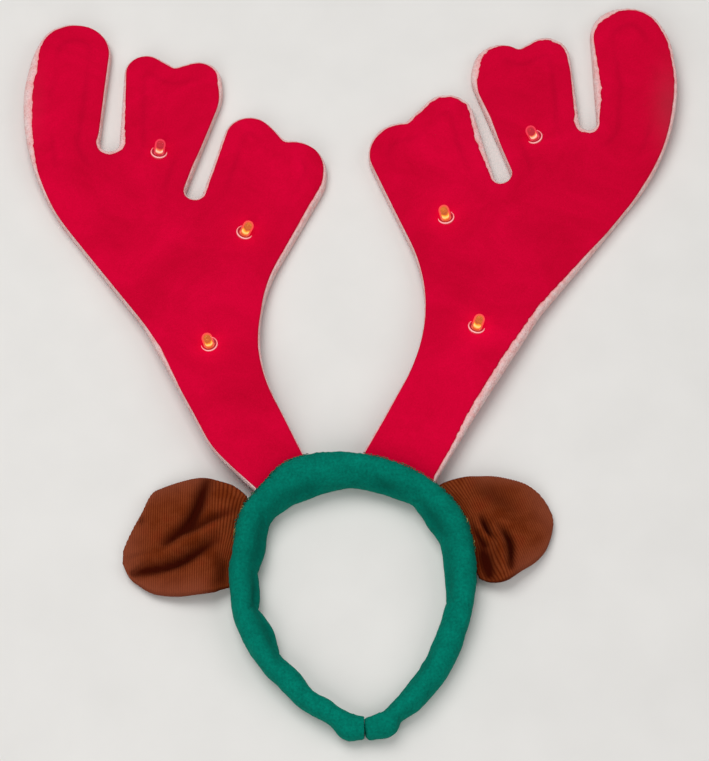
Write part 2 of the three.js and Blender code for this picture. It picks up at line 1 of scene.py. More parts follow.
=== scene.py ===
"""Light-up antler headband: felt band, foam antlers faced with velour, small lights and corduroy ears.

Sizes are in millimetres with the ring's middle as origin, as drawn, and become metres in the part's frame.
"""

import math

import bpy
import numpy as np
from mathutils import Euler, Matrix, Vector
from mathutils.geometry import delaunay_2d_cdt


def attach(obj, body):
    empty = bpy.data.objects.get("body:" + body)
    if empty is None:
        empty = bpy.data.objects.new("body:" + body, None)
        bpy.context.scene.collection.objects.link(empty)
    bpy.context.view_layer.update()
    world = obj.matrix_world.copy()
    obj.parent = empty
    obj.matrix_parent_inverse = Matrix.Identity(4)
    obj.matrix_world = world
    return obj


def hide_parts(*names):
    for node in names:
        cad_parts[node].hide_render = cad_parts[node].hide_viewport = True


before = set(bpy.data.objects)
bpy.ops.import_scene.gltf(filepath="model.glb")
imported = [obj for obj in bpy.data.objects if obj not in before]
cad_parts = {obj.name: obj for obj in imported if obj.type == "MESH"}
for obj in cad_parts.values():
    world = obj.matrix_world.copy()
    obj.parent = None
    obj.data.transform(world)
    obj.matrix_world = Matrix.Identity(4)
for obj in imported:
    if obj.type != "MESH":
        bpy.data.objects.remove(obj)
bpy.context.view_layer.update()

MM = 0.001
FOOTPRINT_CENTRE = np.array((-2.0, 133.8, 0.0))
BODY = "root"

# Camera: the photograph's angle, 65 degrees above the horizon.
LOOK_AT = (0.5, 120.1, 0.0)
LOOK_FROM = 1411.0
LOOK_DOWN = 65.0
LENS = 128.0
SENSOR = 36.0

# Studio: floor, and large soft boxes with their place, size and watts, in metres
FLOOR_HALF = 3.0
FLOOR_DROP = 0.0002
SOFT_BOXES = {
    "soft_box_above": ((-0.35, 0.45, 1.5), 1.1, 13.5),
    "soft_box_right": ((1.2, -0.1, 1.1), 0.9, 4.0),
    "soft_box_front": ((-0.5, -1.2, 1.0), 1.0, 8.0),
}
ROOM_LIGHT = 0.3

# Smooth unevenness is a sum of this many waves, each within this share of the size asked for.
RIPPLE_WAVES = 9
RIPPLE_SPREAD = (0.7, 1.6)

# Cloth that settles, at ten times its size, where its forces suit it
SETTLE_SCALE = 0.01
SETTLE_CLOTH = {
    "quality": 6,
    "mass": 0.3,
    "tension_stiffness": 12,
    "compression_stiffness": 12,
    "shear_stiffness": 5,
    "bending_stiffness": 0.15,
    "tension_damping": 8,
    "compression_damping": 8,
    "use_pressure": True,
}

# Band, a row a section from the left end over the top to the right end: x, y, width, depth, sewn lip
BAND_SECTIONS = {
    "left_end": (2.5, -70.5, 11.5, 14, 0),
    "left_bulb": (-2, -70, 13, 14, 0),
    "left_neck": (-8, -65.5, 9.5, 14.5, 0),
    "left_tip": (-14, -61.5, 9.5, 15, 0),
    "left_lower": (-24, -55.5, 9.5, 15.5, 0),
    "left_low": (-31.5, -46.5, 11, 16.5, 0),
    "left_pinch": (-41, -37, 11, 17.5, 0),
    "left_bulge": (-47, -24, 15.5, 18.5, 0),
    "left_dent": (-53.5, -11.5, 13, 19, 0),
    "left_swell": (-54, -1, 14.5, 19.5, 0),
    "left_crease": (-55, 10.5, 14, 20, 0.4),
    "left_pad": (-52.5, 20.5, 15.5, 20.5, 0.8),
    "left_upper": (-49, 40, 15.5, 21, 1.2),
    "left_shoulder": (-40.5, 50, 16, 22, 1.2),
    "top_left": (-28, 59.5, 21.5, 23, 1.2),
    "top": (-2, 64.5, 16.5, 23, 1.2),
    "top_right": (21.5, 59, 16, 23, 1.2),
    "right_shoulder": (35, 52, 14.5, 22, 1.2),
    "right_upper": (45, 40, 18, 21.5, 1.2),
    "right_pad": (51, 28.5, 16, 21, 0.8),
    "right_side": (53.5, 8.5, 15.5, 20, 0.4),
    "right_dent": (52.5, -8.5, 13, 19, 0),
    "right_low": (42.5, -37, 13.5, 17, 0),
    "right_lower": (28, -57, 11.5, 16, 0),
    "right_neck": (20.5, -63.5, 9, 15, 0),
    "right_heel": (16, -68.5, 12.5, 14.5, 0),
    "right_end": (9.5, -70.5, 11, 14, 0),
}
BAND_SQUARENESS = 0.85  # 1 is an ellipse, less is boxier
BAND_FLAT = 1.0  # how much of the padding the surface under it presses flat
BAND_CAP = 4.4  # how far the two ends round out past their last sections
BAND_CAP_FULL = 0.65  # 1 is a round end, less is squarer
BAND_MEETS = 5.3  # the ends press flat against each other here
BAND_MEETS_GAP = 0.06
BAND_CAP_RINGS = 5
BAND_RING_GAP = 1.9  # between two sections of the cloth that settles
BAND_SIDES = 32
BAND_FINER = (3, 2)  # the finished sleeve has this many times the sections and sides
BAND_LINE_STEPS = 3000
BAND_SLOPE = 0.34  # how far the sleeve falls away towards the head
BAND_SLOPE_SPAN = (0.45, -0.95)  # from here to there across the section
BAND_FULL_SPAN = (14.5, 19)  # a thinner section than this has no such slope
BAND_AXIS = 9.0  # height of the sleeve's core
BAND_GIRTH = 50.0
BAND_ENDS_BELOW = -60.0
BAND_HELD_BELOW = 0.2  # the sleeve keeps its place where it rests
BAND_LIP_ANGLE = 0.16  # half width of the sewn lip, round the section
BAND_LUMPS = ((11.0, 0.14), (3.4, 0.04))  # size and height of the wadding's unevenness
LUMP_SEED = 30
LIP_MOST = 1.2  # the sewn lip where it is widest
LIP_HELD = 0.6  # a lip this wide is held by its stitches
LIP_SEWN_SPAN = (0.5, 1.0)
LIP_RIPPLES = ((2.4, 1.0), (6.0, 0.5))  # size and share
LIP_SEED = 40
LIP_RAGGED = 0.5  # unevenness of the sewn lip between two stitches
LIP_PUCKER = 0.3  # the stitches pucker the sleeve beside the lip
LIP_PUCKER_AT, LIP_PUCKER_WIDE = 48, 22  # degrees round the section
SLEEVE_SPARE = 1.03  # the sleeve is cut this much longer than the hoop, so it gathers
SLEEVE_PRESSURE = 3.0
SLEEVE_FRAMES = 18
SLEEVE_MOVE = 1.0  # the most that a point of the sleeve settles
HOLLOW_DARK = 2.0  # a hollow this deep gets the darkest painted shade

# Hollows pressed into the sleeve: x, y of the place, angle round the section, length, angle wide, depth
BAND_HOLLOWS = {
    "left_dent": (-52, -2, 140, 10, 30, 2.0),
    "left_upper": (-50, 26, 132, 22, 44, 1.8),
    "left_lower": (-45, -25, 128, 14, 36, 1.7),
    "right_upper": (41, 35, 136, 13, 34, 2.0),
    "right_middle": (51, 6, 138, 14, 32, 1.3),
    "right_lower": (38, -40, 145, 12, 30, 0.8),
    "top_left": (-27, 52, 148, 12, 34, 1.3),
    "top_right": (19, 55, 148, 10, 34, 1.5),
}

# Antler outline, u outwards and v towards the tips: u, v and corner radius
ANTLER_CORNERS = {
    "left": {
        "knee": (35, 13, 60),
        "waist_outer": (72.5, 85, 60),
        "elbow": (139, 174, 135),
        "main_side": (142, 226, 85),
        "main_tip_side": (138, 249, 55),
        "main_tip_outer": (128, 270, 20),
        "main_tip_inner": (94, 269, 19),
        "slot_1_outer": (100, 191, 5.5),
        "slot_1_inner": (89, 190, 5),
        "mid_lobe_outer": (87, 260, 12),
        "mid_notch": (60, 243, 1.5),
        "mid_lobe_inner": (36, 251, 13),
        "mid_flank": (33, 225, 30),
        "slot_2_outer": (54, 161, 4.5),
        "slot_2_inner": (44, 161, 4.5),
        "inner_lobe_outer": (25, 225, 14),
        "inner_notch": (-1, 197, 2),
        "inner_lobe_inner": (-25, 196, 20),
        "inner_flank": (-23, 169, 22),
        "waist_inner": (22, 80, 95),
    },
    "right": {
        "knee": (35, 14, 60),
        "waist_outer": (71, 80, 60),
        "elbow": (140, 178, 125),
        "main_side": (144, 223, 85),
        "main_tip_side": (140, 250, 45),
        "main_tip_outer": (128, 271, 21),
        "main_tip_inner": (95, 271, 17),
        "slot_1_outer": (100.5, 193, 4.5),
        "slot_1_inner": (91, 194, 4.5),
        "mid_lobe_outer": (82, 262, 13),
        "mid_notch": (57, 243, 1.5),
        "mid_lobe_inner": (36, 251, 16),
        "mid_flank": (30, 224, 25),
        "slot_2_outer": (56, 160, 5.5),
        "slot_2_inner": (46, 158, 3.5),
        "inner_lobe_outer": (25, 228, 15),
        "inner_notch": (-4, 194, 2),
        "inner_lobe_inner": (-24, 191, 19),
        "inner_flank": (-23, 169, 19),
        "waist_inner": (21, 77, 100),
    },
}
# Bare ledge of foam that the velour leaves round its edge: u, v of a place on the outline and width there
ANTLER_LEDGES = {
    "left": (
        (14, -9, 1.0), (23, 0, 0.4), (52, 44, 0.4), (65, 69, 2.0), (73, 86, 0.4), (121, 151, 0.4),
        (133, 175, 1.5), (139, 198, 4.0), (141, 214, 5.0), (140, 238, 5.0), (135, 256, 2.0), (123, 268, 2.0),
        (107, 268, 1.0), (97, 255, 1.0), (98, 228, 1.0), (99, 200, 0.8), (92, 191, 3.5), (89, 205, 2.5),
        (88, 240, 1.0), (75, 251, 1.5), (59, 243, 1.8), (40, 244, 1.8), (34, 231, 2.5), (36, 217, 0.4),
        (44, 192, 0.6), (48, 179, 1.2), (51, 165, 0.8), (45, 162, 2.0), (32, 201, 1.5), (16, 211, 1.6),
        (5, 204, 1.0), (-3, 197, 2.0), (-18, 191, 0.8), (-24, 176, 1.8), (-16, 155, 2.2), (5, 112, 1.4),
        (10, 90, 0.4), (10, 70, 1.2), (3, 41, 0.8),
    ),
    "right": (
        (18, -19, 1.8), (28, 0, 2.0), (38, 20, 3.5), (56, 52, 4.0), (80, 92, 2.5), (96, 116, 1.4),
        (105, 128, 0.4), (119, 148, 0.4), (125, 158, 1.1), (136, 181, 1.2), (143, 205, 2.0), (141, 240, 2.0),
        (116, 271, 2.2), (104, 267, 4.4), (97, 250, 1.3), (99, 220, 3.4), (99, 212, 3.0), (100, 198, 0.8),
        (94, 194, 3.8), (89, 203, 2.2), (86, 230, 1.2), (76, 250, 3.0), (52, 245, 1.2), (41, 244, 2.6),
        (32, 228, 4.4), (35, 213, 0.7), (41, 198, 1.5), (48, 180, 0.4), (53, 162, 0.4), (48, 159, 1.8),
        (38, 185, 4.0), (31, 205, 2.4), (19, 212, 2.6), (-20, 185, 2.0), (-23, 172, 0.4), (5, 47, 0.4),
        (0, 35, 0.8),
    ),
}
# Where each antler is sewn in: its root point, its outward lean and the two corners of its root
ANTLER_PLACES = {
    "left": {"hand": -1, "x": -38.0, "y": 64.0, "lean": 0, "outer": (9.2, -13.4), "inner": (-14.2, 6.2)},
    "right": {"hand": 1, "x": 24.3, "y": 78.4, "lean": 2.34, "outer": (17.0, -21.5), "inner": (-21.1, -8.2)},
}
OUTLINE_STEP = 0.9
ARC_STEP = 0.5
CLOTH = 1.0  # velour facing
FOAM_BASE = 1.05
FOAM_TOP = 6.7
FACE_BASE = 6.75
FACE_TOP = 7.8  # where the lights are set
CLOTH_EDGE = 0.45  # the facing's thickness at its cut edge
CLOTH_ROLL = 1.6  # the facing's edge rounds over this width
CROWN = 0.8  # the foam is pinched at its cut edge and fuller inside
CROWN_WIDTH = 8.0
PRESSED_LINE = 10.0  # a faint line that runs along inside the outline
PRESSED_DEPTH = 0.2
PRESSED_WIDTH = 1.5
PRESSED_SPAN = (140, 185)  # it fades out down the stem
PRESSED_GAPS = 34.0  # it comes and goes over this length
PRESSED_GAPS_SPAN = (-0.9, 0.8)
PRESSED_SEED = 7
# Painted sheen, paler velour on the main tine's curled edge: u, v, reach each way and strength
ANTLER_PAINTED_SHEEN = {
    "left": ((136.0, 215.0, 6.0, 26.0, 0.1),),
    "right": ((140.0, 204.0, 9.0, 24.0, 0.42),),
}
UNEVEN = 0.22
UNEVEN_SIZE = 42.0
UNEVEN_SPAN = (0, 12)  # none at the edge
UNEVEN_SEEDS = {"left": 3, "right": 4}
SHEET_STEP = 1.8  # between two points of the facing's mesh
CORE_STEP = 5.0
CORE_ROWS = (1.6,)
BACK_STEP = 3.0
BACK_HEM = 0.25  # the back's facing is cut this much smaller
ROW_PITCH = 0.866  # rows of a grid of even triangles
GRID_CLEAR = 0.55  # share of a step that a grid keeps from its edge
HOLE_CLEAR = 0.5
HOLE_INSIDE = 0.98
ROW_KEPT = 0.9
EDGE_ROWS = (0.4, 0.9, 1.6, 2.6)  # rows of points that round the facing's edge
CUT_ROUGH = 0.12  # unevenness of the cut foam
CUT_ROUGH_SIZE = 2.2
FOAM_DUST = 0.6  # red pile shed on the foam next to the velour
# The cut edge from its foot up: share of the height and share of the ledge's width, up to the velour's edge
CUT_PROFILE = ((0.3, 0.0), (0.6, 0.04), (0.82, 0.16), (0.93, 0.4), (0.98, 0.7))
LEDGE_LEAST = 0.4
LEDGE_CORNER = 0.35  # at the root's corners
LEDGE_RISE = 0.3  # and wider by this for each millimetre from there
RAGGED = 0.22  # unevenness of the velour's edge where the bare ledge is wide
RAGGED_SPAN = (1.2, 3.0)
RAGGED_RIPPLES = ((5.5, 1.0), (2.6, 0.7))  # size and share
EDGE_SEEDS = {"left": 11, "right": 12}
# Root pressed thin at the seam's height, and the sheet coming down from there
ROOT_PRESS = 0.7
PRESS_SPAN = (12, 34)
ROOT_LIFT = 7.2
LIFT_SPAN = (14, 150)
# The main tine's outer edge curls up
CURL_HEIGHT = 5
CURL_U_SPAN = (96, 150)
CURL_V_SPAN = (120, 200)
# Creases where a tine has been bent: ends, depth and half width
ANTLER_CREASES = {
    "left": [((103, 166), (85, 182), 0.75, 1.5)],
    "right": [((104, 178), (126, 196), 0.25, 3.5)],
}
CREASE_ENDS = 0.08  # share of its depth's curve that a crease starts and ends at

# Lights: side, u, v, tilt about their own Y and X, and how each is lit
LIGHTS = {
    "left_1": ("left", 67, 188, 10, 27, "dim"),
    "left_2": ("left", 20, 139, 23, 17, "lit"),
    "left_3": ("left", 37, 71, -9, 6, "lit"),
    "right_1": ("right", 66, 186, -24, 15, "dim"),
    "right_2": ("right", 19.5, 134.5, -13, 19, "lit"),
    "right_3": ("right", 37, 68, 14, 20, "lit"),
}
LENS_RADIUS = 2.8
LENS_BARREL = 5.6
LENS_SUNK = 3.0
LENS_ROWS = 12
DOME_ROWS = 10
FLANGE_RADIUS = 3.0
FLANGE_EDGE = ((-0.15, 0), (0, 0.15), (0, 0.85), (-0.1, 1))  # past the flange's radius, and above its foot
FLANGE_TOP = ((0.05, 1), (0, 1.1))  # past the lens's radius, and above the flange's foot
HEART_RADIUS = 1.95  # of the lit middle
HEART_FOOT = -1.6
HEART_TAPER = (0.8, 0.9)  # share of its radius at its foot and at the velour
COLLAR_LEAN = 0.6  # share of its light's tilt
# The collar's section: radius, height and how pale it is there, a painted highlight
COLLAR_SECTION = (
    (4.3, -1.9, 0.2), (4.45, 0.1, 0.45), (4.45, 0.5, 0.95), (4.3, 0.9, 1.0), (4.05, 0.9, 0.65),
    (3.8, 0.65, 0.1), (3.3, 0.55, 0.0), (3.0, 0.65, 0.0), (2.9, 0.5, 0.0), (3.05, -1.9, 0.0),
)
LIGHT_HOLE = 3.1
LIGHT_POCKET = 3.4  # in the foam
LIGHT_POCKET_DEPTH = 3.6
LATHE_SIDES = 36
GLOW_REACH = 7.0  # how far the painted glow on the velour reaches round a light
GLOW_FALL = 1.3
GLOWS = {"lit": 1.0, "dim": 0.35}
DIMPLE = 0.35  # the collar draws the velour in
DIMPLE_REACH = 7.0

# Ears, a row a section across the ribs from the seam to the tip: across, lower edge, upper edge
EAR_SECTIONS = {
    "left": (
        (0, -22, 24), (3, -23, 28), (6, -24, 32), (9, -25.5, 34), (12, -26, 35.5),
        (18, -26.5, 36.5), (28, -27, 35), (38, -25.5, 32), (42, -24, 30), (48, -20, 18.5),
        (53, -15.5, 7.5), (56.5, -8, -1.5),
    ),
    "right": (
        (0, -22, 30), (3, -26.5, 31), (6, -28.5, 31), (9, -29, 30.5), (16, -27, 28.5),
        (24, -25, 26), (32, -21, 21.5), (38, -15, 16.5), (42, -9, 9.5), (44, -3.5, 2),
    ),
}
# Where an ear meets the band: place along the ribs, and how far across it lies from the first section
EAR_MEETS = {
    "left": (
        (-24, 1.5), (-14, 2), (-8, 1.5), (-1, -0.5), (5, -2.5),
        (12, -4), (17, -4.5), (23, -6), (26, -7.5), (34, -8.5),
    ),
    "right": (
        (-29, -3), (-24, -4.5), (-19, -4.5), (-13, -3), (-9, -1.5),
        (-1, -1), (8, 0.5), (17, -0.5), (24, -3), (31, -5.5),
    ),
}
EAR_MEETS_WIDTH = 12  # the cloth is drawn over to the band within this width
EAR_PLACES = {
    "left": {"hand": -1, "x": -60.0, "y": 25.0, "turn": 0},
    "right": {"hand": 1, "x": 59.0, "y": 30.0, "turn": 22},
}
# Folds and gathers: a bent line through three points, raised (or sunk, below 0) by height over width
EAR_FOLDS = {
    "left": (
        ((14.5, 33), (22, 13), (33, 2), -5.0, 3.6),
        ((33, 2), (40, -5), (46, -9), -2.4, 4.0),
        ((54, -9), (30, -1.6), (1, 12.0), 4.2, 4.2),
        ((51, -14), (28, -9.5), (9, 3), -5.0, 3.2),
        ((22, 6), (13, 12), (0, 17), -3.6, 2.6),
        ((8, -8), (6, -16), (9, -23), -2.2, 4.0),
        ((48.6, 15.6), (47.8, 14.2), (47.0, 12.6), -1.6, 1.4),
    ),
    "right": (
        ((8.5, 5), (9, -1.5), (10, -6), -5.4, 2.2),
        ((12.0, -0.5), (12, -9), (7.5, -24), 4.6, 3.0),
        ((15.0, -2), (16, -11), (11.5, -24), -5.0, 2.6),
        ((14, 0.5), (20, -2), (27, -5), 2.0, 4.0),
        ((4.5, 8), (5.5, -1), (7.5, -6), 2.6, 1.8),
        ((3.0, 5), (3.4, -2), (5.0, -8), -3.8, 1.6),
        ((2.0, -9), (1.5, -17), (0, -25), -5.0, 4.0),
        ((14, 21), (20, 14), (26, 6), -1.8, 5.0),
    ),
}
EAR_FOLDS_STOP = 5.0  # the folds flatten out this near the free edge
EAR_FOLD_STEPS = 40
EAR_FOLD_ENDS = 0.1
EAR_LINE_STEPS = 800
EAR_THICKNESS = 4.6
EAR_EDGE = 1.0
EAR_SEAM_HEIGHT = 9.6
EAR_TIP_HEIGHT = 2.4
EAR_CUP = 4.0
EAR_SIDE_LOFT = 4
EAR_TIP_LOFT = 6
EAR_SEAM_REACH = 12
EAR_TUCK = 3.5  # the free part of the edge by the band hangs this much lower
EAR_TUCK_SPAN = (2, -12)
EAR_LOWEST = 0.1
EAR_SEWN_FOLD = 0.25  # share of its folds and of its thickness that is left at the seam
EAR_SEWN_THICK = 0.35
EAR_CREASE_SHADE = 3.6  # a fold this deep gets the darkest painted shade
EAR_CREASE_SHADE_SPAN = (-2, 4)  # from the seam on
EAR_CREASE_SHADE_EDGE = 2
# Painted highlight along the ears' free edge
EAR_HIGHLIGHT = 0.6
EAR_HIGHLIGHT_WIDTH = 9.0
EAR_HIGHLIGHT_SPAN = (6, 20)
EAR_LENGTH = 55  # along the ribs
EAR_COLUMNS = 48  # of the cloth that settles
EAR_ROWS = 40
EAR_SPARE = 1.03
EAR_PRESSURE = 0.6
EAR_FRAMES = 12
EAR_MOVE = 0.7
EAR_HELD = 0.6  # how firmly the sewn rim keeps its place
RIB_PITCH = 1.15  # fine-wale corduroy
RIB_HEIGHT = 0.3
RIB_CUTS = 6  # mesh columns to a rib
RIB_ROWS = 64
RIB_ROUND = 0.7  # 1 is a half wave, less is flatter on top
RIB_FADE = 2.2  # rows over which the ribs run out at the rim
RIB_FADE_COLUMNS = 3

# Whip stitches that close the sleeve over the antlers' and ears' edges
SEAM_START = (-59, 26)
SEAM_END = (62.5, 21)
SEAM_BARE = (-24.0, 5.0)  # between the antlers nothing is sewn in
SEAM_ANGLE_SIDE, SEAM_ANGLE_TOP = 10, 36  # degrees round the section, at the ears and at the antlers
SEAM_TURN = (0.25, 0.75)  # from the ears' seam to the antlers', by how far the band faces the antlers
SEAM_PALE = 0.6  # the thread is this much greener at the antlers
SEAM_PALE_SPAN = (0.35, 0.7)
STITCH_GAP = 1.7
STITCH_LENGTH = 3.0
STITCH_THREAD = 0.5
STITCH_BOW = 0.7
STITCH_THIN = 0.5  # share that a stitch thins to at its ends
STITCH_SIDES = 6
STITCH_RINGS = 7
STITCH_SLANT = 0.75
STITCH_UNEVEN = 0.45
STITCH_SIZES = (0.6, 1.15)
STITCH_SEEDS = {"slant": 5, "size": 8, "tone": 13}


# Common shapes


def metres(points):
    return (np.asarray(points, float) - FOOTPRINT_CENTRE) * MM


def ease(start, end, value):
    share = np.clip((np.asarray(value, float) - start) / (end - start), 0, 1)
    return share * share * (3 - 2 * share)


def hump(away, width):
    """1 in the middle, and less with the distance from it."""
    return np.exp(-((away / width) ** 2))


def run_of(line):
    """Distance along a line of points, at each of them."""
    return np.r_[0, np.cumsum(np.linalg.norm(np.diff(line, axis=0), axis=1))]


def through(rows, at, even=False):
    """Points at shares of the smooth line through rows. even spaces it by row, not by distance."""
    rows = np.asarray(rows, float)
    ends = np.vstack([2 * rows[0] - rows[1], rows, 2 * rows[-1] - rows[-2]])
    spot = np.clip(np.asarray(at, float), 0, 1) * (len(rows) - 1)
    first = np.minimum(spot.astype(int), len(rows) - 2)
    w = (spot - first)[:, None]
    p0, p1, p2, p3 = (ends[first + k] for k in range(4))
    if even:
        t1, t2 = (p2 - p0) / 2, (p3 - p1) / 2
    else:
        gaps = [np.sqrt(np.linalg.norm(q - p, axis=1))[:, None] for p, q in ((p0, p1), (p1, p2), (p2, p3))]
        d0, d1, d2 = (np.maximum(gap, 1e-6) for gap in gaps)
        t1 = ((p1 - p0) / d0 - (p2 - p0) / (d0 + d1) + (p2 - p1) / d1) * d1
        t2 = ((p2 - p1) / d1 - (p3 - p1) / (d1 + d2) + (p3 - p2) / d2) * d1
    return p1 + w * t1 + w**2 * (3 * (p2 - p1) - 2 * t1 - t2) + w**3 * (2 * (p1 - p2) + t1 + t2)


def ripple(points, size, seed):
    """Smooth random unevenness, mostly between -1 and 1, with bumps of about that size."""
    dice = np.random.default_rng(seed)
    shortest, longest = (share * size for share in RIPPLE_SPREAD)
    total = np.zeros(len(points))
    for _ in range(RIPPLE_WAVES):
        heading, length, start = dice.uniform((0, shortest, 0), (2 * math.pi, longest, 2 * math.pi))
        along = points[:, 0] * math.cos(heading) + points[:, 1] * math.sin(heading)
        total += np.sin(along * 2 * math.pi / length + start)
    return total / math.sqrt(RIPPLE_WAVES)


def ripples(run, waves, seed):
    """Unevenness along an edge, from waves of size and share."""
    line = np.c_[run, run * 0]
    return sum(share * ripple(line, size, seed + number) for number, (size, share) in enumerate(waves))


def away_from(points, start, end):
    """Distance of each point from a straight line between two points, and its share along it."""
    start, way = np.asarray(start, float), np.asarray(end, float) - np.asarray(start, float)
    share = np.clip((points - start) @ way / (way @ way), 0, 1)
    return np.linalg.norm(points - start - share[:, None] * way, axis=1), share


def depth_inside(points, outline):
    """Distance of each point from a closed outline."""
    best = np.full(len(points), np.inf)
    for start, end in zip(outline, np.roll(outline, -1, axis=0)):
        best = np.minimum(best, away_from(points, start, end)[0])
    return best


def between(below, above):
    """Faces that join two closed rings of as many points."""
    ahead = [*range(1, len(below)), 0]
    return [(below[k], below[n], above[n], above[k]) for k, n in enumerate(ahead)]


def put_down(place, degrees, flat, height):
    """Points in their place, from a flat pattern that is turned, and mirrored for the left hand."""
    turn = math.radians(degrees) * place["hand"]
    x, y = flat[:, 0] * place["hand"], flat[:, 1]
    cos, sin = math.cos(turn), math.sin(turn)
    return np.c_[place["x"] + x * cos - y * sin, place["y"] + x * sin + y * cos, height]


def handed(place, faces):
    return [face[::-1] for face in faces] if place["hand"] < 0 else list(faces)


def mesh_of(name, points, faces, edges=()):
    mesh = bpy.data.meshes.new(name)
    mesh.from_pydata(np.asarray(points).tolist(), list(edges), [list(map(int, face)) for face in faces])
    return mesh


def shown(name, data):
    made = bpy.data.objects.new(name, data)
    bpy.context.scene.collection.objects.link(made)
    return made


def piece(name, points, faces, material, slot, marks=None):
    """A finished mesh in the part's frame. marks are values a point."""
    mesh = mesh_of(name, metres(points), faces)
    for mark, values in (marks or {}).items():
        mesh.attributes.new(mark, "FLOAT", "POINT").data.foreach_set("value", np.asarray(values, np.float32))
    mesh.validate()
    mesh.shade_smooth()
    mesh.materials.append(material)
    made = shown(name, mesh)
    made["slot"] = slot
    return made


def settle(points, cut, faces, held, pressure, frames, most):
    """Lets a closed skin of cloth, cut to another form than it lies in, puff and gather for some frames."""
    mesh = mesh_of("settling", points * SETTLE_SCALE, faces)
    skin = shown("settling", mesh)
    skin.shape_key_add(name="lies")
    key = skin.shape_key_add(name="cut")
    key.data.foreach_set("co", (cut * SETTLE_SCALE).ravel())
    group = skin.vertex_groups.new(name="held")
    for index in np.flatnonzero(held > 0):
        group.add([int(index)], float(held[index]), "REPLACE")
    cloth = skin.modifiers.new("cloth", "CLOTH").settings
    for setting, value in SETTLE_CLOTH.items():
        setattr(cloth, setting, value)
    cloth.uniform_pressure_force = pressure
    cloth.effector_weights.gravity = 0
    cloth.vertex_group_mass = "held"
    cloth.rest_shape_key = key
    for step in range(1, frames + 1):
        bpy.context.scene.frame_set(step)
    settled = skin.evaluated_get(bpy.context.evaluated_depsgraph_get()).to_mesh()
    found = np.zeros(len(points) * 3, np.float32)
    settled.vertices.foreach_get("co", found)
    bpy.data.objects.remove(skin)
    bpy.data.meshes.remove(mesh)
    bpy.context.scene.frame_set(1)
    move = found.reshape(-1, 3) / SETTLE_SCALE - points
    reach = np.maximum(np.linalg.norm(move, axis=1), 1e-9)[:, None]
    return points + move * (most * np.tanh(reach / most) / reach)


# Finishes


def linear(colour):
    parts = [int(colour[k : k + 2], 16) / 255 for k in (1, 3, 5)]
    return tuple(x / 12.92 if x <= 0.04045 else ((x + 0.055) / 1.055) ** 2.4 for x in parts) + (1.0,)


def feed(tree, node, inputs):
    """Sets a node's inputs to values, or links them to the outputs given."""
    for name, value in inputs.items():
        if isinstance(value, bpy.types.NodeSocket):
            tree.links.new(value, node.inputs[name])
        else:
            node.inputs[name].default_value = value


def add(tree, kind, inputs=None, out=None, stops=(), **settings):
    """One node with its settings and links. Gives the output that is named, or the first in use."""
    made = tree.nodes.new(kind)
    for name, value in settings.items():
        setattr(made, name, value)
    if stops:
        points = made.color_ramp.elements
        while len(points) < len(stops):
            points.new(0.5)
        for point, (place, colour) in zip(points, stops):
            point.position = place
            point.color = linear(colour)
    feed(tree, made, inputs or {})
    return made.outputs[out] if out else next((socket for socket in made.outputs if socket.enabled), None)


def finish_of(name):
    """A new material, its tree and its shader."""
    made = bpy.data.materials.new(name)
    made.use_nodes = True
    return made, made.node_tree, made.node_tree.nodes["Principled BSDF"]


def per_metre(size):
    """A texture's scale for features of that size in mm."""
    return 1 / (size * MM)


# Kinds of node in the finishes
COORDINATES = "ShaderNodeTexCoord"
NOISE = "ShaderNodeTexNoise"
MARK = "ShaderNodeAttribute"
MATH = "ShaderNodeMath"
MIX = "ShaderNodeMix"
RAMP = "ShaderNodeValToRGB"
BUMP = "ShaderNodeBump"


def brushed_felt():
    """Needled polyester felt: a dull, mottled nap of matted fibres that catches light at grazing angles."""
    made, tree, shader = finish_of("brushed_felt_teal")
    place = add(tree, COORDINATES, out="Object")
    # The fibres are about 0.02 mm thick, drawn as matted tufts of 1.3 mm so that they show.
    tufts = add(tree, NOISE, {"Vector": place, "Scale": per_metre(1.3), "Detail": 5.0, "Roughness": 0.65})
    mottle = add(tree, NOISE, {"Vector": place, "Scale": per_metre(7.0), "Detail": 3.0})
    blend = add(tree, MIX, {"Factor": 0.3, "A": tufts, "B": mottle}, data_type="FLOAT")
    nap = add(tree, RAMP, {"Fac": blend}, stops=[(0.3, "#005F50"), (0.5, "#007462"), (0.7, "#008772")])
    # Painted shade: the hollows are painted darker.
    hollow = add(tree, MARK, out="Fac", attribute_name="hollow")
    share = add(tree, MATH, {0: hollow, 1: 0.66}, operation="MULTIPLY")
    colour = add(tree, MIX, {"Factor": share, "A": nap, "B": linear("#004A3E")}, data_type="RGBA")
    bump = add(tree, BUMP, {"Height": tufts, "Strength": 0.55, "Distance": 0.0007})
    feed(tree, shader, {
        "Base Color": colour, "Roughness": 0.95, "Specular IOR Level": 0.05, "Normal": bump,
        "Sheen Weight": 0.12, "Sheen Roughness": 0.5, "Sheen Tint": linear("#20B49A"),
    })
    return made


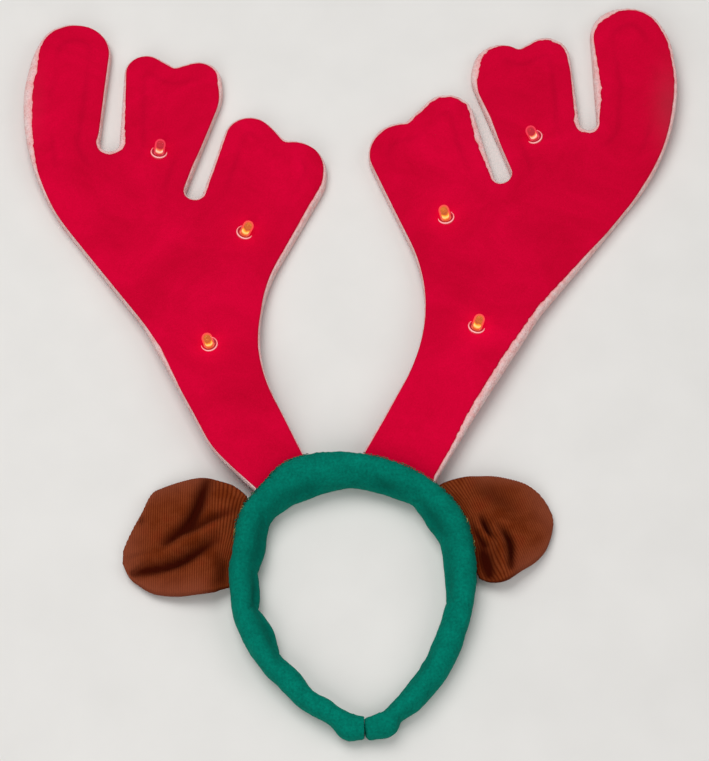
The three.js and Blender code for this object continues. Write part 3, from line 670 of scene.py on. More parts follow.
def short_pile_velour():
    """Knitted polyester velour: a dense upright pile, deep crimson, with drifts where the nap lies over."""
    made, tree, shader = finish_of("short_pile_velour_crimson")
    place = add(tree, COORDINATES, out="Object")
    # The pile is about 0.1 mm fine, drawn as a grain of 0.9 mm so that it shows.
    grain = add(tree, NOISE, {"Vector": place, "Scale": per_metre(0.9), "Detail": 4.0, "Roughness": 0.7})
    drifts = {"Scale": per_metre(38.0), "Detail": 4.0, "Roughness": 0.66, "Distortion": 0.6}
    nap = add(tree, NOISE, {"Vector": place, **drifts})
    blend = add(tree, MIX, {"Factor": 0.6, "A": grain, "B": nap}, data_type="FLOAT")
    pile = add(tree, RAMP, {"Fac": blend}, stops=[(0.32, "#BE0028"), (0.5, "#CF0030"), (0.68, "#E00038")])
    # Painted shade darkens the pile along the pressed line's groove, and a painted sheen makes it paler on
    # the main tine's curled outer edge.
    groove_shade = add(tree, MARK, out="Fac", attribute_name="pressed")
    share = add(tree, MATH, {0: groove_shade, 1: 0.22}, operation="MULTIPLY")
    darker = add(tree, MIX, {"Factor": share, "A": pile, "B": linear("#8E001E")}, data_type="RGBA")
    worn = add(tree, MARK, out="Fac", attribute_name="worn")
    colour = add(tree, MIX, {"Factor": worn, "A": darker, "B": linear("#A83242")}, data_type="RGBA")
    bump = add(tree, BUMP, {"Height": grain, "Strength": 0.4, "Distance": 0.0004})
    # Painted glow: the velour round each light is given emission, for light that the foam behind it passes
    # on.
    glow = add(tree, MARK, out="Fac", attribute_name="glow")
    strength = add(tree, MATH, {0: glow, 1: 0.18}, operation="MULTIPLY")
    feed(tree, shader, {
        "Base Color": colour, "Roughness": 0.95, "Specular IOR Level": 0.05, "Normal": bump,
        "Sheen Weight": 0.06, "Sheen Roughness": 0.4, "Sheen Tint": linear("#FF2040"),
        "Emission Color": linear("#FF0838"), "Emission Strength": strength,
    })
    return made


def cut_foam():
    """Flexible polyurethane foam, die-cut: open cells that show as fine pits, dusted pink with red pile."""
    made, tree, shader = finish_of("raw_cut_foam_pale")
    place = add(tree, COORDINATES, out="Object")
    # Cells of about 0.4 mm, drawn at 0.9 mm so that they show.
    cells = add(tree, "ShaderNodeTexVoronoi", {"Vector": place, "Scale": per_metre(0.9), "Randomness": 1.0})
    dust = add(tree, NOISE, {"Vector": place, "Scale": per_metre(4.0), "Detail": 5.0, "Roughness": 0.7})
    pits = add(tree, RAMP, {"Fac": cells}, stops=[(0.1, "#C4A09E"), (0.3, "#E6C8C6"), (1.0, "#F2DAD6")])
    pink = add(tree, RAMP, {"Fac": dust}, stops=[(0.4, "#FFFFFF"), (0.58, "#FFE6E4"), (0.74, "#F4B4B6")])
    bare = add(tree, MIX, {"Factor": 1.0, "A": pits, "B": pink}, data_type="RGBA", blend_type="MULTIPLY")
    dusted = add(tree, MARK, out="Fac", attribute_name="dusted")
    colour = add(tree, MIX, {"Factor": dusted, "A": bare, "B": linear("#FF9CA0")}, data_type="RGBA")
    bump = add(tree, BUMP, {"Height": cells, "Strength": 0.6, "Distance": 0.0005})
    feed(tree, shader, {"Base Color": colour, "Roughness": 0.85, "Specular IOR Level": 0.25, "Normal": bump})
    return made


def fine_corduroy():
    """Cotton corduroy, fine wale: cut-pile ribs, with painted shade that darkens the grooves between them
    and leaves their tops paler.
    """
    made, tree, shader = finish_of("fine_corduroy_brown")
    place = add(tree, COORDINATES, out="Object")
    rib = add(tree, MARK, out="Fac", attribute_name="rib")
    # The pile is about 0.1 mm fine, drawn as a grain of 0.8 mm so that it shows.
    pile = add(tree, NOISE, {"Vector": place, "Scale": per_metre(0.8), "Detail": 4.0, "Roughness": 0.7})
    worn = add(tree, NOISE, {"Vector": place, "Scale": per_metre(9.0), "Detail": 4.0})
    # Painted shade by the ribs' profile: dark in the grooves, paler on the tops.
    blend = add(tree, MIX, {"Factor": 0.45, "A": rib, "B": pile}, data_type="FLOAT")
    ribbed = add(tree, RAMP, {"Fac": blend}, stops=[(0.1, "#481503"), (0.5, "#6B290D"), (0.9, "#88401F")])
    patchy = add(tree, RAMP, {"Fac": worn}, stops=[(0.35, "#E6D4AC"), (0.55, "#FFFFFF"), (0.75, "#FFE8E4")])
    dyed = add(tree, MIX, {"Factor": 1.0, "A": ribbed, "B": patchy}, data_type="RGBA", blend_type="MULTIPLY")
    # Painted highlight: near its free edge the pile is painted paler and pinker, where the cupped edge
    # catches the light.
    rubbed = add(tree, MARK, out="Fac", attribute_name="rubbed")
    mixed = add(tree, MIX, {"Factor": rubbed, "A": dyed, "B": linear("#8E4A34")}, data_type="RGBA")
    # Painted shade: the creases of the folds are painted much darker.
    crease = add(tree, MARK, out="Fac", attribute_name="crease")
    colour = add(tree, MIX, {"Factor": crease, "A": mixed, "B": linear("#380900")}, data_type="RGBA")
    bump = add(tree, BUMP, {"Height": pile, "Strength": 0.4, "Distance": 0.0004})
    feed(tree, shader, {
        "Base Color": colour, "Roughness": 0.95, "Specular IOR Level": 0.05, "Normal": bump,
        "Sheen Weight": 0.1, "Sheen Roughness": 0.45, "Sheen Tint": linear("#C96A40"),
    })
    return made


def lens_resin(state):
    """Tinted cast epoxy: what glows inside shows through, and its emission, partly the light's own glow,
    paints a salmon rim for the red velour it refracts and reflects.
    """
    made, tree, shader = finish_of(f"cast_lens_resin_{state}")
    painted_rims = {"lit": "#FF6A54", "dim": "#F04A5E"}
    feed(tree, shader, {
        "Base Color": linear("#401010"), "Roughness": 0.08, "IOR": 1.2, "Alpha": 0.3,
        "Emission Color": linear(painted_rims[state]), "Emission Strength": 1.3,
    })
    return made


def lit_heart(state):
    """The lit middle of a light: a hot yellow spot low down at the chip, and orange resin above it."""
    made, tree, shader = finish_of(f"lit_resin_{state}")
    height = add(tree, MARK, out="Fac", attribute_name="height")
    place = add(tree, COORDINATES, out="Object")
    clouds = add(tree, NOISE, {"Vector": place, "Scale": per_metre(1.6), "Detail": 1.0})
    mottled = add(tree, MATH, {0: clouds, 1: height, 2: height}, operation="MULTIPLY_ADD")
    depth = add(tree, MATH, {0: mottled, 1: 0.68}, operation="MULTIPLY")
    stops = {
        "lit": [
            (0.04, "#C04010"), (0.12, "#F0A020"), (0.24, "#FFF49A"), (0.36, "#FFD030"), (0.5, "#C87400"),
            (0.62, "#7C4400"), (0.78, "#A86C00"), (0.9, "#8A5400"), (1.0, "#B07400"),
        ],
        "dim": [
            (0.04, "#A00820"), (0.12, "#F09858"), (0.23, "#FFF6E0"), (0.36, "#F8B060"), (0.5, "#B81418"),
            (0.62, "#680004"), (0.78, "#A0040C"), (0.9, "#780008"), (1.0, "#A80414"),
        ],
    }
    colour = add(tree, RAMP, {"Fac": depth}, stops=stops[state])
    feed(tree, shader, {
        "Base Color": linear("#1E0804"), "Roughness": 0.6, "Specular IOR Level": 0.0,
        "Emission Color": colour, "Emission Strength": 1.1,
    })
    return made


def clear_plastic():
    """Injection-moulded clear polycarbonate: a glossy ring, pale at its rim with a painted highlight,
    painted red from the velour seen inside it, and faintly painted as glowing.
    """
    made, tree, shader = finish_of("clear_moulded_plastic")
    # Painted reflection of the velour where dark, painted highlight where pale, and a painted glow
    pale = add(tree, MARK, out="Fac", attribute_name="pale")
    colour = add(tree, RAMP, {"Fac": pale}, stops=[(0.0, "#9C0424"), (0.6, "#EC5C6A"), (1.0, "#FFC8C6")])
    feed(tree, shader, {
        "Base Color": colour, "Roughness": 0.25, "IOR": 1.45, "Transmission Weight": 0.15,
        "Coat Weight": 0.1, "Coat Roughness": 0.1, "Emission Color": colour, "Emission Strength": 0.25,
    })
    return made


def sewing_thread():
    """Spun polyester thread: green like the sleeve, some of it paler where it is worn and dusted."""
    made, tree, shader = finish_of("sewing_thread_green")
    place = add(tree, COORDINATES, out="Object")
    tone = add(tree, MARK, out="Fac", attribute_name="thread_tone")
    twist = add(tree, NOISE, {"Vector": place, "Scale": per_metre(0.5), "Detail": 3.0})
    greens = [(0.0, "#0A5040"), (0.4, "#2A6A48"), (0.7, "#6E7438"), (1.0, "#A8965A")]
    colour = add(tree, RAMP, {"Fac": tone}, stops=greens)
    bump = add(tree, BUMP, {"Height": twist, "Strength": 0.5, "Distance": 0.0002})
    feed(tree, shader, {"Base Color": colour, "Roughness": 0.7, "Specular IOR Level": 0.3, "Normal": bump})
    return made


def floor_paper():
    """Seamless background paper: pale, matt, almost even."""
    made, tree, shader = finish_of("background_paper_pale")
    place = add(tree, COORDINATES, out="Object")
    tooth = add(tree, NOISE, {"Vector": place, "Scale": per_metre(40.0), "Detail": 3.0})
    colour = add(tree, RAMP, {"Fac": tooth}, stops=[(0.3, "#E6E4E0"), (0.7, "#EAE8E4")])
    feed(tree, shader, {"Base Color": colour, "Roughness": 0.9, "Specular IOR Level": 0.1})
    return made


# Camera, floor and lights


def studio():
    eye = shown("camera", bpy.data.cameras.new("camera"))
    eye.data.lens = LENS
    eye.data.sensor_width = SENSOR
    eye.data.clip_end = 20
    down = math.radians(LOOK_DOWN)
    eye.location = metres(LOOK_AT + LOOK_FROM * np.array((0, -math.cos(down), math.sin(down))))
    eye.rotation_euler = (math.pi / 2 - down, 0, 0)
    bpy.context.scene.camera = eye
    bpy.context.scene.view_settings.view_transform = "Standard"

    corners = [(x * FLOOR_HALF, y * FLOOR_HALF, 0) for x, y in ((-1, -1), (1, -1), (1, 1), (-1, 1))]
    floor = shown("floor", mesh_of("floor", corners, [range(4)]))
    floor.data.materials.append(floor_paper())
    floor.location.z = -FLOOR_DROP

    for name, (place, size, watts) in SOFT_BOXES.items():
        lamp = shown(name, bpy.data.lights.new(name, "AREA"))
        lamp.data.size = size
        lamp.data.energy = watts
        lamp.location = place
        lamp.rotation_euler = (-Vector(place)).to_track_quat("-Z", "Y").to_euler()
    world = bpy.data.worlds.new("studio")
    world.use_nodes = True
    tree = world.node_tree
    feed(tree, tree.nodes["Background"], {"Color": linear("#F4F4F6"), "Strength": ROOM_LIGHT})
    bpy.context.scene.world = world


# Band


def band_line():
    """Sections of the band, evenly spaced: middle, way, size (width, depth, lip) and distance along."""
    rows = np.array(list(BAND_SECTIONS.values()), float)
    fine = np.linspace(0, 1, BAND_LINE_STEPS)
    run = run_of(through(rows[:, :2], fine))
    along = np.linspace(0, run[-1], round(run[-1] / BAND_RING_GAP) + 1)
    at = np.interp(along, run, fine)
    middle = through(rows[:, :2], at)
    way = np.gradient(middle, axis=0)
    way /= np.linalg.norm(way, axis=1)[:, None]
    return middle, way, through(rows[:, 2:], at, even=True), along


def band_skin():
    """The sleeve's points as it lies and as it was cut, its faces, its hold and its rings' places."""
    middle, way, size, along = band_line()
    angle = np.arange(BAND_SIDES) / BAND_SIDES * 2 * math.pi
    across, up = (np.sign(part) * np.abs(part) ** BAND_SQUARENESS for part in (np.cos(angle), np.sin(angle)))
    turn = np.minimum(angle, 2 * math.pi - angle)
    lip = hump(turn, BAND_LIP_ANGLE)
    slope = np.where(up > 0, 1 - BAND_SLOPE * ease(*BAND_SLOPE_SPAN, across), 1)
    caps = [k / (BAND_CAP_RINGS + 1) * math.pi / 2 for k in range(BAND_CAP_RINGS, 0, -1)]
    last = len(along) - 1
    ends = [(0, cap) for cap in caps], [(last, cap) for cap in caps[::-1]]
    rings = ends[0] + [(k, 0) for k in range(last + 1)] + ends[1]
    lies, cut, places = [], [], []
    for ring, cap in rings:
        shrink = math.cos(cap) ** BAND_CAP_FULL
        advance = BAND_CAP * math.sin(cap) ** BAND_CAP_FULL * (-1 if ring == 0 else 1)
        width, depth, edge = size[ring]
        full = ease(*BAND_FULL_SPAN, depth)
        reach = (across * width / 2 + lip * edge) * shrink
        height = depth / 2 - BAND_FLAT + up * (1 + (slope - 1) * full) * depth / 2 * shrink
        outward = np.array((-way[ring][1], way[ring][0]))
        flat = middle[ring] + way[ring] * advance + reach[:, None] * outward
        lies.append(np.c_[flat, np.maximum(0, height)])
        places.append(along[ring] + advance)
        cut.append(np.c_[np.full(BAND_SIDES, places[-1] * SLEEVE_SPARE), reach, height])
    for ring, cap in ((0, -BAND_CAP), (last, BAND_CAP)):
        height = size[ring][1] / 2 - BAND_FLAT
        lies.append([(*(middle[ring] + way[ring] * cap), height)])
        cut.append([((along[ring] + cap) * SLEEVE_SPARE, 0, height)])
    lies = np.vstack(lies)
    edges = size[[ring for ring, _ in rings], 2]
    sewn = np.repeat(edges > LIP_HELD, BAND_SIDES) & (np.tile(turn, len(rings)) < BAND_LIP_ANGLE)
    capped = np.repeat([cap > 0 for _, cap in rings], BAND_SIDES)
    held = sewn | capped | (lies[:-2, 2] < BAND_HELD_BELOW)
    return lies, np.vstack(cut), tube_faces(len(rings), BAND_SIDES), np.r_[held, True, True] * 1.0, places


def finer_ring(grid, along, around):
    """A tube's grid of rings drawn through at more rings and sides."""
    rings, sides = grid.shape[:2]
    long = through(grid.reshape(rings, -1), np.linspace(0, 1, (rings - 1) * along + 1), even=True)
    long = long.reshape(-1, sides, 3)
    wrapped = np.concatenate([long[:, -2:], long, long[:, :3]], axis=1).transpose(1, 0, 2)
    spots = (2 + np.arange(sides * around) / around) / (sides + 4)
    wide = through(wrapped.reshape(sides + 5, -1), spots, even=True)
    return wide.reshape(sides * around, -1, 3).transpose(1, 0, 2)


def tube_faces(rings, sides):
    """Faces of a tube of rings, closed by a pole at each end: the poles' points come last."""
    faces = []
    end = (rings - 1) * sides
    for side in range(sides):
        beside = (side + 1) % sides
        for ring in range(rings - 1):
            here, there = ring * sides, (ring + 1) * sides
            faces.append((here + side, here + beside, there + beside, there + side))
        faces.append((rings * sides, beside, side))
        faces.append((end + side, end + beside, rings * sides + 1))
    return faces


def make_band():
    lies, cut, faces, held, place = band_skin()
    points = settle(lies, cut, faces, held, SLEEVE_PRESSURE, SLEEVE_FRAMES, SLEEVE_MOVE)
    grid = finer_ring(points[:-2].reshape(-1, BAND_SIDES, 3), *BAND_FINER)
    rings, sides = grid.shape[:2]
    middle, _, size, along = band_line()
    place = np.interp(np.linspace(0, 1, rings), np.linspace(0, 1, len(place)), place)
    angle = np.arange(sides) / sides * 360
    core = np.array([np.interp(place, along, part) for part in middle.T]).T
    inwards = np.c_[core, np.full(rings, BAND_AXIS)][:, None] - grid
    inwards /= np.linalg.norm(inwards, axis=2)[..., None]
    hollow = np.zeros((rings, sides))
    for x, y, facing, length, wide, depth in BAND_HOLLOWS.values():
        nearest = along[np.argmin(np.linalg.norm(middle - (x, y), axis=1))]
        hollow += depth * hump(place - nearest, length)[:, None] * hump(angle - facing, wide)
    sunk = hollow.copy()
    around = np.c_[np.repeat(place, sides), np.tile(angle / 360 * BAND_GIRTH, rings)]
    for number, (lump, height) in enumerate(BAND_LUMPS):
        sunk += height * ripple(around, lump, LUMP_SEED + number).reshape(rings, sides)
    edge = np.interp(place, along, size[:, 2])[:, None]
    lip = edge / LIP_MOST * hump(np.radians(np.minimum(angle, 360 - angle)), BAND_LIP_ANGLE)
    pucker = ease(*LIP_SEWN_SPAN, edge) * hump(angle - LIP_PUCKER_AT, LIP_PUCKER_WIDE)
    sunk += ripples(place, LIP_RIPPLES, LIP_SEED)[:, None] * (LIP_RAGGED * lip + LIP_PUCKER * pucker)
    grid = grid + inwards * sunk[..., None]
    points = np.vstack([grid.reshape(-1, 3), points[-2:]])
    points[:, 2] = np.maximum(points[:, 2], 0)
    low = points[:, 1] < BAND_ENDS_BELOW
    left = low & (np.r_[np.repeat(place, sides), place[0], place[-1]] < along[-1] / 2)
    right = low & ~left
    points[left, 0] = np.minimum(points[left, 0], BAND_MEETS - BAND_MEETS_GAP / 2)
    points[right, 0] = np.maximum(points[right, 0], BAND_MEETS + BAND_MEETS_GAP / 2)
    band = piece(
        "band_felt_sleeve", points, tube_faces(rings, sides), brushed_felt(), "felt_green",
        # hollow is painted shade, darker with the hollow's depth
        marks={"hollow": np.r_[np.clip(hollow / HOLLOW_DARK, 0, 1).ravel(), 0, 0]},
    )
    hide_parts("band")
    return band, grid


# Antlers


def round_corner(before, corner, after, radius):
    back = (before - corner) / np.linalg.norm(before - corner)
    on = (after - corner) / np.linalg.norm(after - corner)
    half = math.acos(np.clip(back @ on, -1, 1)) / 2
    centre = corner + (back + on) / np.linalg.norm(back + on) * radius / math.sin(half)
    start = corner + back * radius / math.tan(half) - centre
    turn = np.sign(on[0] * back[1] - on[1] * back[0]) * (math.pi - 2 * half)
    angles = np.linspace(0, turn, max(3, round(abs(turn) * radius / ARC_STEP)))
    cos, sin = np.cos(angles), np.sin(angles)
    return centre + np.c_[start[0] * cos - start[1] * sin, start[0] * sin + start[1] * cos]


def antler_outline(side):
    """The cut outline as evenly spaced points, with the bare ledge's width and the way along at each."""
    place = ANTLER_PLACES[side]
    rows = list(ANTLER_CORNERS[side].values())
    corners = np.array([place["outer"], *(row[:2] for row in rows), place["inner"]], float)
    arcs = [round_corner(*corners[k : k + 3], row[2]) for k, row in enumerate(rows)]
    line = np.vstack([corners[:1], *arcs, corners[-1:], corners[:1]])
    run = run_of(line)
    at = np.linspace(0, run[-1], round(run[-1] / OUTLINE_STEP), endpoint=False)
    outline = np.array([np.interp(at, run, part) for part in line.T]).T
    marks = np.array(ANTLER_LEDGES[side])
    spots = at[np.linalg.norm(outline[None] - marks[:, None, :2], axis=2).argmin(axis=1)]
    order = np.argsort(spots)
    ledge = np.interp(at, spots[order], marks[order, 2], period=run[-1])
    ledge = np.maximum(np.mean([np.roll(ledge, k) for k in range(-2, 3)], axis=0), LEDGE_LEAST)
    for corner in (corners[0], corners[-1]):
        ledge = np.minimum(ledge, LEDGE_CORNER + LEDGE_RISE * np.linalg.norm(outline - corner, axis=1))
    return outline, ledge, at


def drawn_in(outline, width):
    way = np.roll(outline, -1, axis=0) - np.roll(outline, 1, axis=0)
    way /= np.linalg.norm(way, axis=1)[:, None]
    return outline + np.c_[-way[:, 1], way[:, 0]] * np.broadcast_to(width, len(outline))[:, None]


def fill_in(outline, step, rows=(), holes=()):
    """Triangles inside an outline, with rows of points along its edge and round holes left open."""
    turn = -np.arange(LATHE_SIDES) / LATHE_SIDES * 2 * math.pi
    circle = np.c_[np.cos(turn), np.sin(turn)]
    loops = [outline] + [np.array(hole[:2]) + hole[2] * circle for hole in holes]
    low, high = outline.min(0), outline.max(0)
    across, up = np.meshgrid(np.arange(low[0], high[0], step), np.arange(low[1], high[1], step * ROW_PITCH))
    across = across + (np.arange(len(up)) % 2)[:, None] * step / 2
    grid = np.c_[across.ravel(), up.ravel()]
    crossings = np.zeros(len(grid), int)
    for start, end in zip(outline, np.roll(outline, -1, axis=0)):
        spans = (start[1] > grid[:, 1]) != (end[1] > grid[:, 1])
        rise = np.where(spans, end[1] - start[1], 1)
        crossings += spans & (grid[:, 0] < (end[0] - start[0]) * (grid[:, 1] - start[1]) / rise + start[0])
    grid = grid[crossings % 2 == 1]
    grid = grid[depth_inside(grid, outline) > (rows[-1] if rows else 0) + step * GRID_CLEAR]
    inner = [(row, drawn_in(outline, row)) for row in rows]
    inner = [line[depth_inside(line, outline) > row * ROW_KEPT] for row, line in inner]
    loose = np.vstack([*inner, grid])
    for hole in holes:
        loose = loose[np.linalg.norm(loose - hole[:2], axis=1) > hole[2] + step * HOLE_CLEAR]
    points = np.vstack([*loops, loose])
    edges, start = [], 0
    for loop in loops:
        edges += [(start + k, start + (k + 1) % len(loop)) for k in range(len(loop))]
        start += len(loop)
    found = delaunay_2d_cdt([Vector(p) for p in points], edges, [list(range(len(outline)))], 1, 1e-6)
    # Every point comes back, in another order, with the number that it went in under.
    if not all(found[3]):
        raise ValueError("an outline crosses itself")
    number = np.array([given[0] for given in found[3]])
    faces = []
    for a, b, c in number[np.array(found[2])].tolist():
        middle = points[[a, b, c]].mean(0)
        if all(np.linalg.norm(middle - hole[:2]) > hole[2] * HOLE_INSIDE for hole in holes):
            p, q = points[b] - points[a], points[c] - points[a]
            faces.append((a, b, c) if p[0] * q[1] - p[1] * q[0] > 0 else (a, c, b))
    return points, faces, [len(loop) for loop in loops]


def laid(side, flat, height):
    """Points of an antler, bent to rest and put in place, from their flat places and heights."""
    place = ANTLER_PLACES[side]
    u, v = flat.T
    curl = CURL_HEIGHT * ease(*CURL_U_SPAN, u) * ease(*CURL_V_SPAN, v)
    lift = ROOT_LIFT * (1 - ease(*LIFT_SPAN, v)) + curl
    pressed = ROOT_PRESS + (1 - ROOT_PRESS) * ease(*PRESS_SPAN, v)
    return put_down(place, -place["lean"], flat, lift + height * pressed)


def pressed_line(flat, depth):
    """The faint line inside an antler's outline, which comes and goes and fades out down the stem."""
    line = hump(depth - PRESSED_LINE, PRESSED_WIDTH) * ease(*PRESSED_SPAN, flat[:, 1])
    return line * ease(*PRESSED_GAPS_SPAN, ripple(flat, PRESSED_GAPS, PRESSED_SEED))


def lights_of(side):
    return [(u, v, GLOWS[state]) for where, u, v, _, _, state in LIGHTS.values() if where == side]


def swell(side, flat, depth):
    """How far the front stands above its edge: the fuller middle, the pressed line, creases and drifts."""
    height = CROWN * (1 - np.exp(-depth / CROWN_WIDTH))
    height -= PRESSED_DEPTH * pressed_line(flat, depth)
    height += UNEVEN * ripple(flat, UNEVEN_SIZE, UNEVEN_SEEDS[side]) * ease(*UNEVEN_SPAN, depth)
    for start, end, sunk, half in ANTLER_CREASES[side]:
        away, share = away_from(flat, start, end)
        height -= sunk * hump(away, half) * np.sin(math.pi * (CREASE_ENDS + (1 - 2 * CREASE_ENDS) * share))
    for u, v, _ in lights_of(side):
        height -= DIMPLE * hump(np.linalg.norm(flat - (u, v), axis=1), DIMPLE_REACH)
    return height


def two_sided(points, faces, loops, top, bottom):
    """A closed sheet: the same triangles above and below, joined along every loop."""
    count = len(points)
    made = list(faces) + [tuple(count + k for k in face[::-1]) for face in faces]
    start = 0
    for length in loops:
        ring = np.arange(start, start + length)
        made += between(count + ring, ring)
        start += length
    return np.vstack([points, points]), np.r_[top, bottom], made


def roll(depth):
    """Share of the facing's thickness that its rounded edge has gained at a depth from the edge."""
    return np.sqrt(1 - (1 - np.minimum(depth / CLOTH_ROLL, 1)) ** 2)


def make_front(side, edge, velour):
    """Velour front, with the lights' holes."""
    holes = [(u, v, LIGHT_HOLE) for u, v, _ in lights_of(side)]
    flat, faces, loops = fill_in(edge, SHEET_STEP, EDGE_ROWS, holes)
    depth = depth_inside(flat, edge)
    base = FACE_BASE + swell(side, flat, depth)
    top = base + CLOTH_EDGE + (CLOTH - CLOTH_EDGE) * roll(depth)
    both, height, faces = two_sided(flat, faces, loops, top, base)
    # Painted glow on the velour round each light
    glow = np.zeros(len(both))
    for u, v, strength in lights_of(side):
        glow += strength * np.exp(-((np.linalg.norm(both - (u, v), axis=1) / GLOW_REACH) ** GLOW_FALL))
    # Painted sheen on the main tine's curled outer edge
    worn = np.zeros(len(both))
    for u, v, wide, tall, strength in ANTLER_PAINTED_SHEEN[side]:
        worn += strength * hump(both[:, 0] - u, wide) * hump(both[:, 1] - v, tall)
    # The pressed line's mark also paints shade along its groove.
    marks = {"glow": glow, "worn": worn, "pressed": np.tile(pressed_line(flat, depth), 2)}
    faces = handed(ANTLER_PLACES[side], faces)
    return piece(f"antler_velour_front_{side}", laid(side, both, height), faces, velour, "velour_red", marks)


def make_core(side, outline, edge, run, foam):
    """Foam core: its cut edge, its hidden top and underside, and a pocket for each light."""
    pockets = [(u, v, LIGHT_POCKET) for u, v, _ in lights_of(side)]
    upper, faces, loops = fill_in(edge, CORE_STEP, CORE_ROWS, pockets)
    lower, lower_faces, _ = fill_in(outline, CORE_STEP, CORE_ROWS)
    count, base = len(outline), len(upper)
    top = FOAM_TOP + swell(side, upper, depth_inside(upper, edge))
    flats, heights = [upper, lower], [top, np.full(len(lower), FOAM_BASE)]
    dusted = [np.full(base, FOAM_DUST), np.zeros(len(lower))]
    faces = list(faces) + [tuple(base + k for k in face[::-1]) for face in lower_faces]
    below = np.arange(count) + base
    place = base + len(lower)
    for row, (share, inwards) in enumerate(CUT_PROFILE, start=1):
        rough = CUT_ROUGH * ripples(run, ((CUT_ROUGH_SIZE, 1.0),), EDGE_SEEDS[side] * 10 + row)
        flats.append(drawn_in(outline * (1 - inwards) + edge * inwards, -rough * (1 - inwards)))
        heights.append(FOAM_BASE * (1 - share) + top[:count] * share + rough * inwards)
        dusted.append(np.full(count, FOAM_DUST * inwards**3))
        above = np.arange(count) + place
        faces += between(below, above)
        below = above
        place += count
    faces += between(below, np.arange(count))
    start = count
    for length in loops[1:]:
        ring = np.arange(start, start + length)
        floor = np.arange(place, place + length)
        flats.append(upper[ring])
        heights.append(top[ring] - LIGHT_POCKET_DEPTH)
        dusted.append(np.zeros(length))
        faces += between(floor, ring) + [tuple(floor[::-1])]
        place += length
        start += length
    points = laid(side, np.vstack(flats), np.concatenate(heights))
    marks = {"dusted": np.concatenate(dusted)}
    faces = handed(ANTLER_PLACES[side], faces)
    return piece(f"antler_foam_core_{side}", points, faces, foam, "foam_pale", marks)


def make_back(side, outline, velour):
    """Velour back, flat on what the antler lies on."""
    hem = drawn_in(outline, BACK_HEM)
    flat, faces, loops = fill_in(hem, BACK_STEP, EDGE_ROWS)
    under = (CLOTH - CLOTH_EDGE) * (1 - roll(depth_inside(flat, hem)))
    both, height, faces = two_sided(flat, faces, loops, np.full(len(flat), CLOTH), under)
    marks = {mark: np.zeros(len(both)) for mark in ("glow", "worn", "pressed")}
    faces = handed(ANTLER_PLACES[side], faces)
    return piece(f"antler_velour_back_{side}", laid(side, both, height), faces, velour, "velour_red", marks)


def make_antler(side, velour, foam):
    outline, ledge, run = antler_outline(side)
    ragged = RAGGED * ease(*RAGGED_SPAN, ledge)
    first, second = RAGGED_RIPPLES
    seed = EDGE_SEEDS[side]
    rough = ripples(run, (first,), seed) + ripples(run, (second,), seed + 2)
    edge = drawn_in(outline, np.maximum(ledge + ragged * rough, LEDGE_CORNER))
    front = make_front(side, edge, velour)
    inside = make_core(side, outline, edge, run, foam)
    back = make_back(side, outline, velour)
    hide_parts(f"antler_face_{side}")
    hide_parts(f"antler_back_{side}")
    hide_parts(f"antler_foam_{side}")
    return [front, inside, back]


# Lights


def light_pose(name, share=1.0):
    """A light's own frame: on the velour, and leaning by a share of its tilt."""
    side, u, v, *tilts, _ = LIGHTS[name]
    tilt_y, tilt_x = (math.radians(tilt) * share for tilt in tilts)
    hand = ANTLER_PLACES[side]["hand"]
    spots = np.array([(u, v), (u + 1, v), (u - 1, v), (u, v + 1), (u, v - 1)], float)
    at, east, west, north, south = laid(side, spots, np.full(5, FACE_TOP))
    normal = Vector(np.cross(east - west, north - south) * hand).normalized()
    upright = Vector((0, 0, 1)).rotation_difference(normal).to_matrix().to_4x4()
    tilt = Euler((-tilt_x, tilt_y, 0), "YXZ").to_matrix().to_4x4()
    return Matrix.Translation(Vector(at)) @ upright @ tilt


def domed(radius):
    """A lens's barrel and dome as a profile of radius and height."""
    quarter = [k / DOME_ROWS * math.pi / 2 for k in range(DOME_ROWS)]
    barrel = [(radius, LENS_BARREL * k / LENS_ROWS) for k in range(1, LENS_ROWS)]
    dome = [(radius * math.cos(a), LENS_BARREL + radius * math.sin(a)) for a in quarter]
    return [*barrel, *dome, (0, LENS_BARREL + radius)]


def turned_on_lathe(profile, pose, closed=False):
    """A turned form from a profile of radius and height, and the height of each of its points."""
    points, faces, rings = [], [], []
    for radius, height in profile:
        sides = LATHE_SIDES if radius > 0 else 1
        rings.append(range(len(points), len(points) + sides))
        turns = [k / LATHE_SIDES * 2 * math.pi for k in range(sides)]
        points += [(radius * math.cos(turn), radius * math.sin(turn), height) for turn in turns]
    pairs = list(zip(rings, rings[1:])) + ([(rings[-1], rings[0])] if closed else [])
    for below, above in pairs:
        whole = [[ring[k % len(ring)] for k in range(LATHE_SIDES)] for ring in (below, above)]
        faces += [tuple(dict.fromkeys(corners)) for corners in between(*whole)]
    return np.array([pose @ Vector(p) for p in points]), faces, np.array(points)[:, 2]


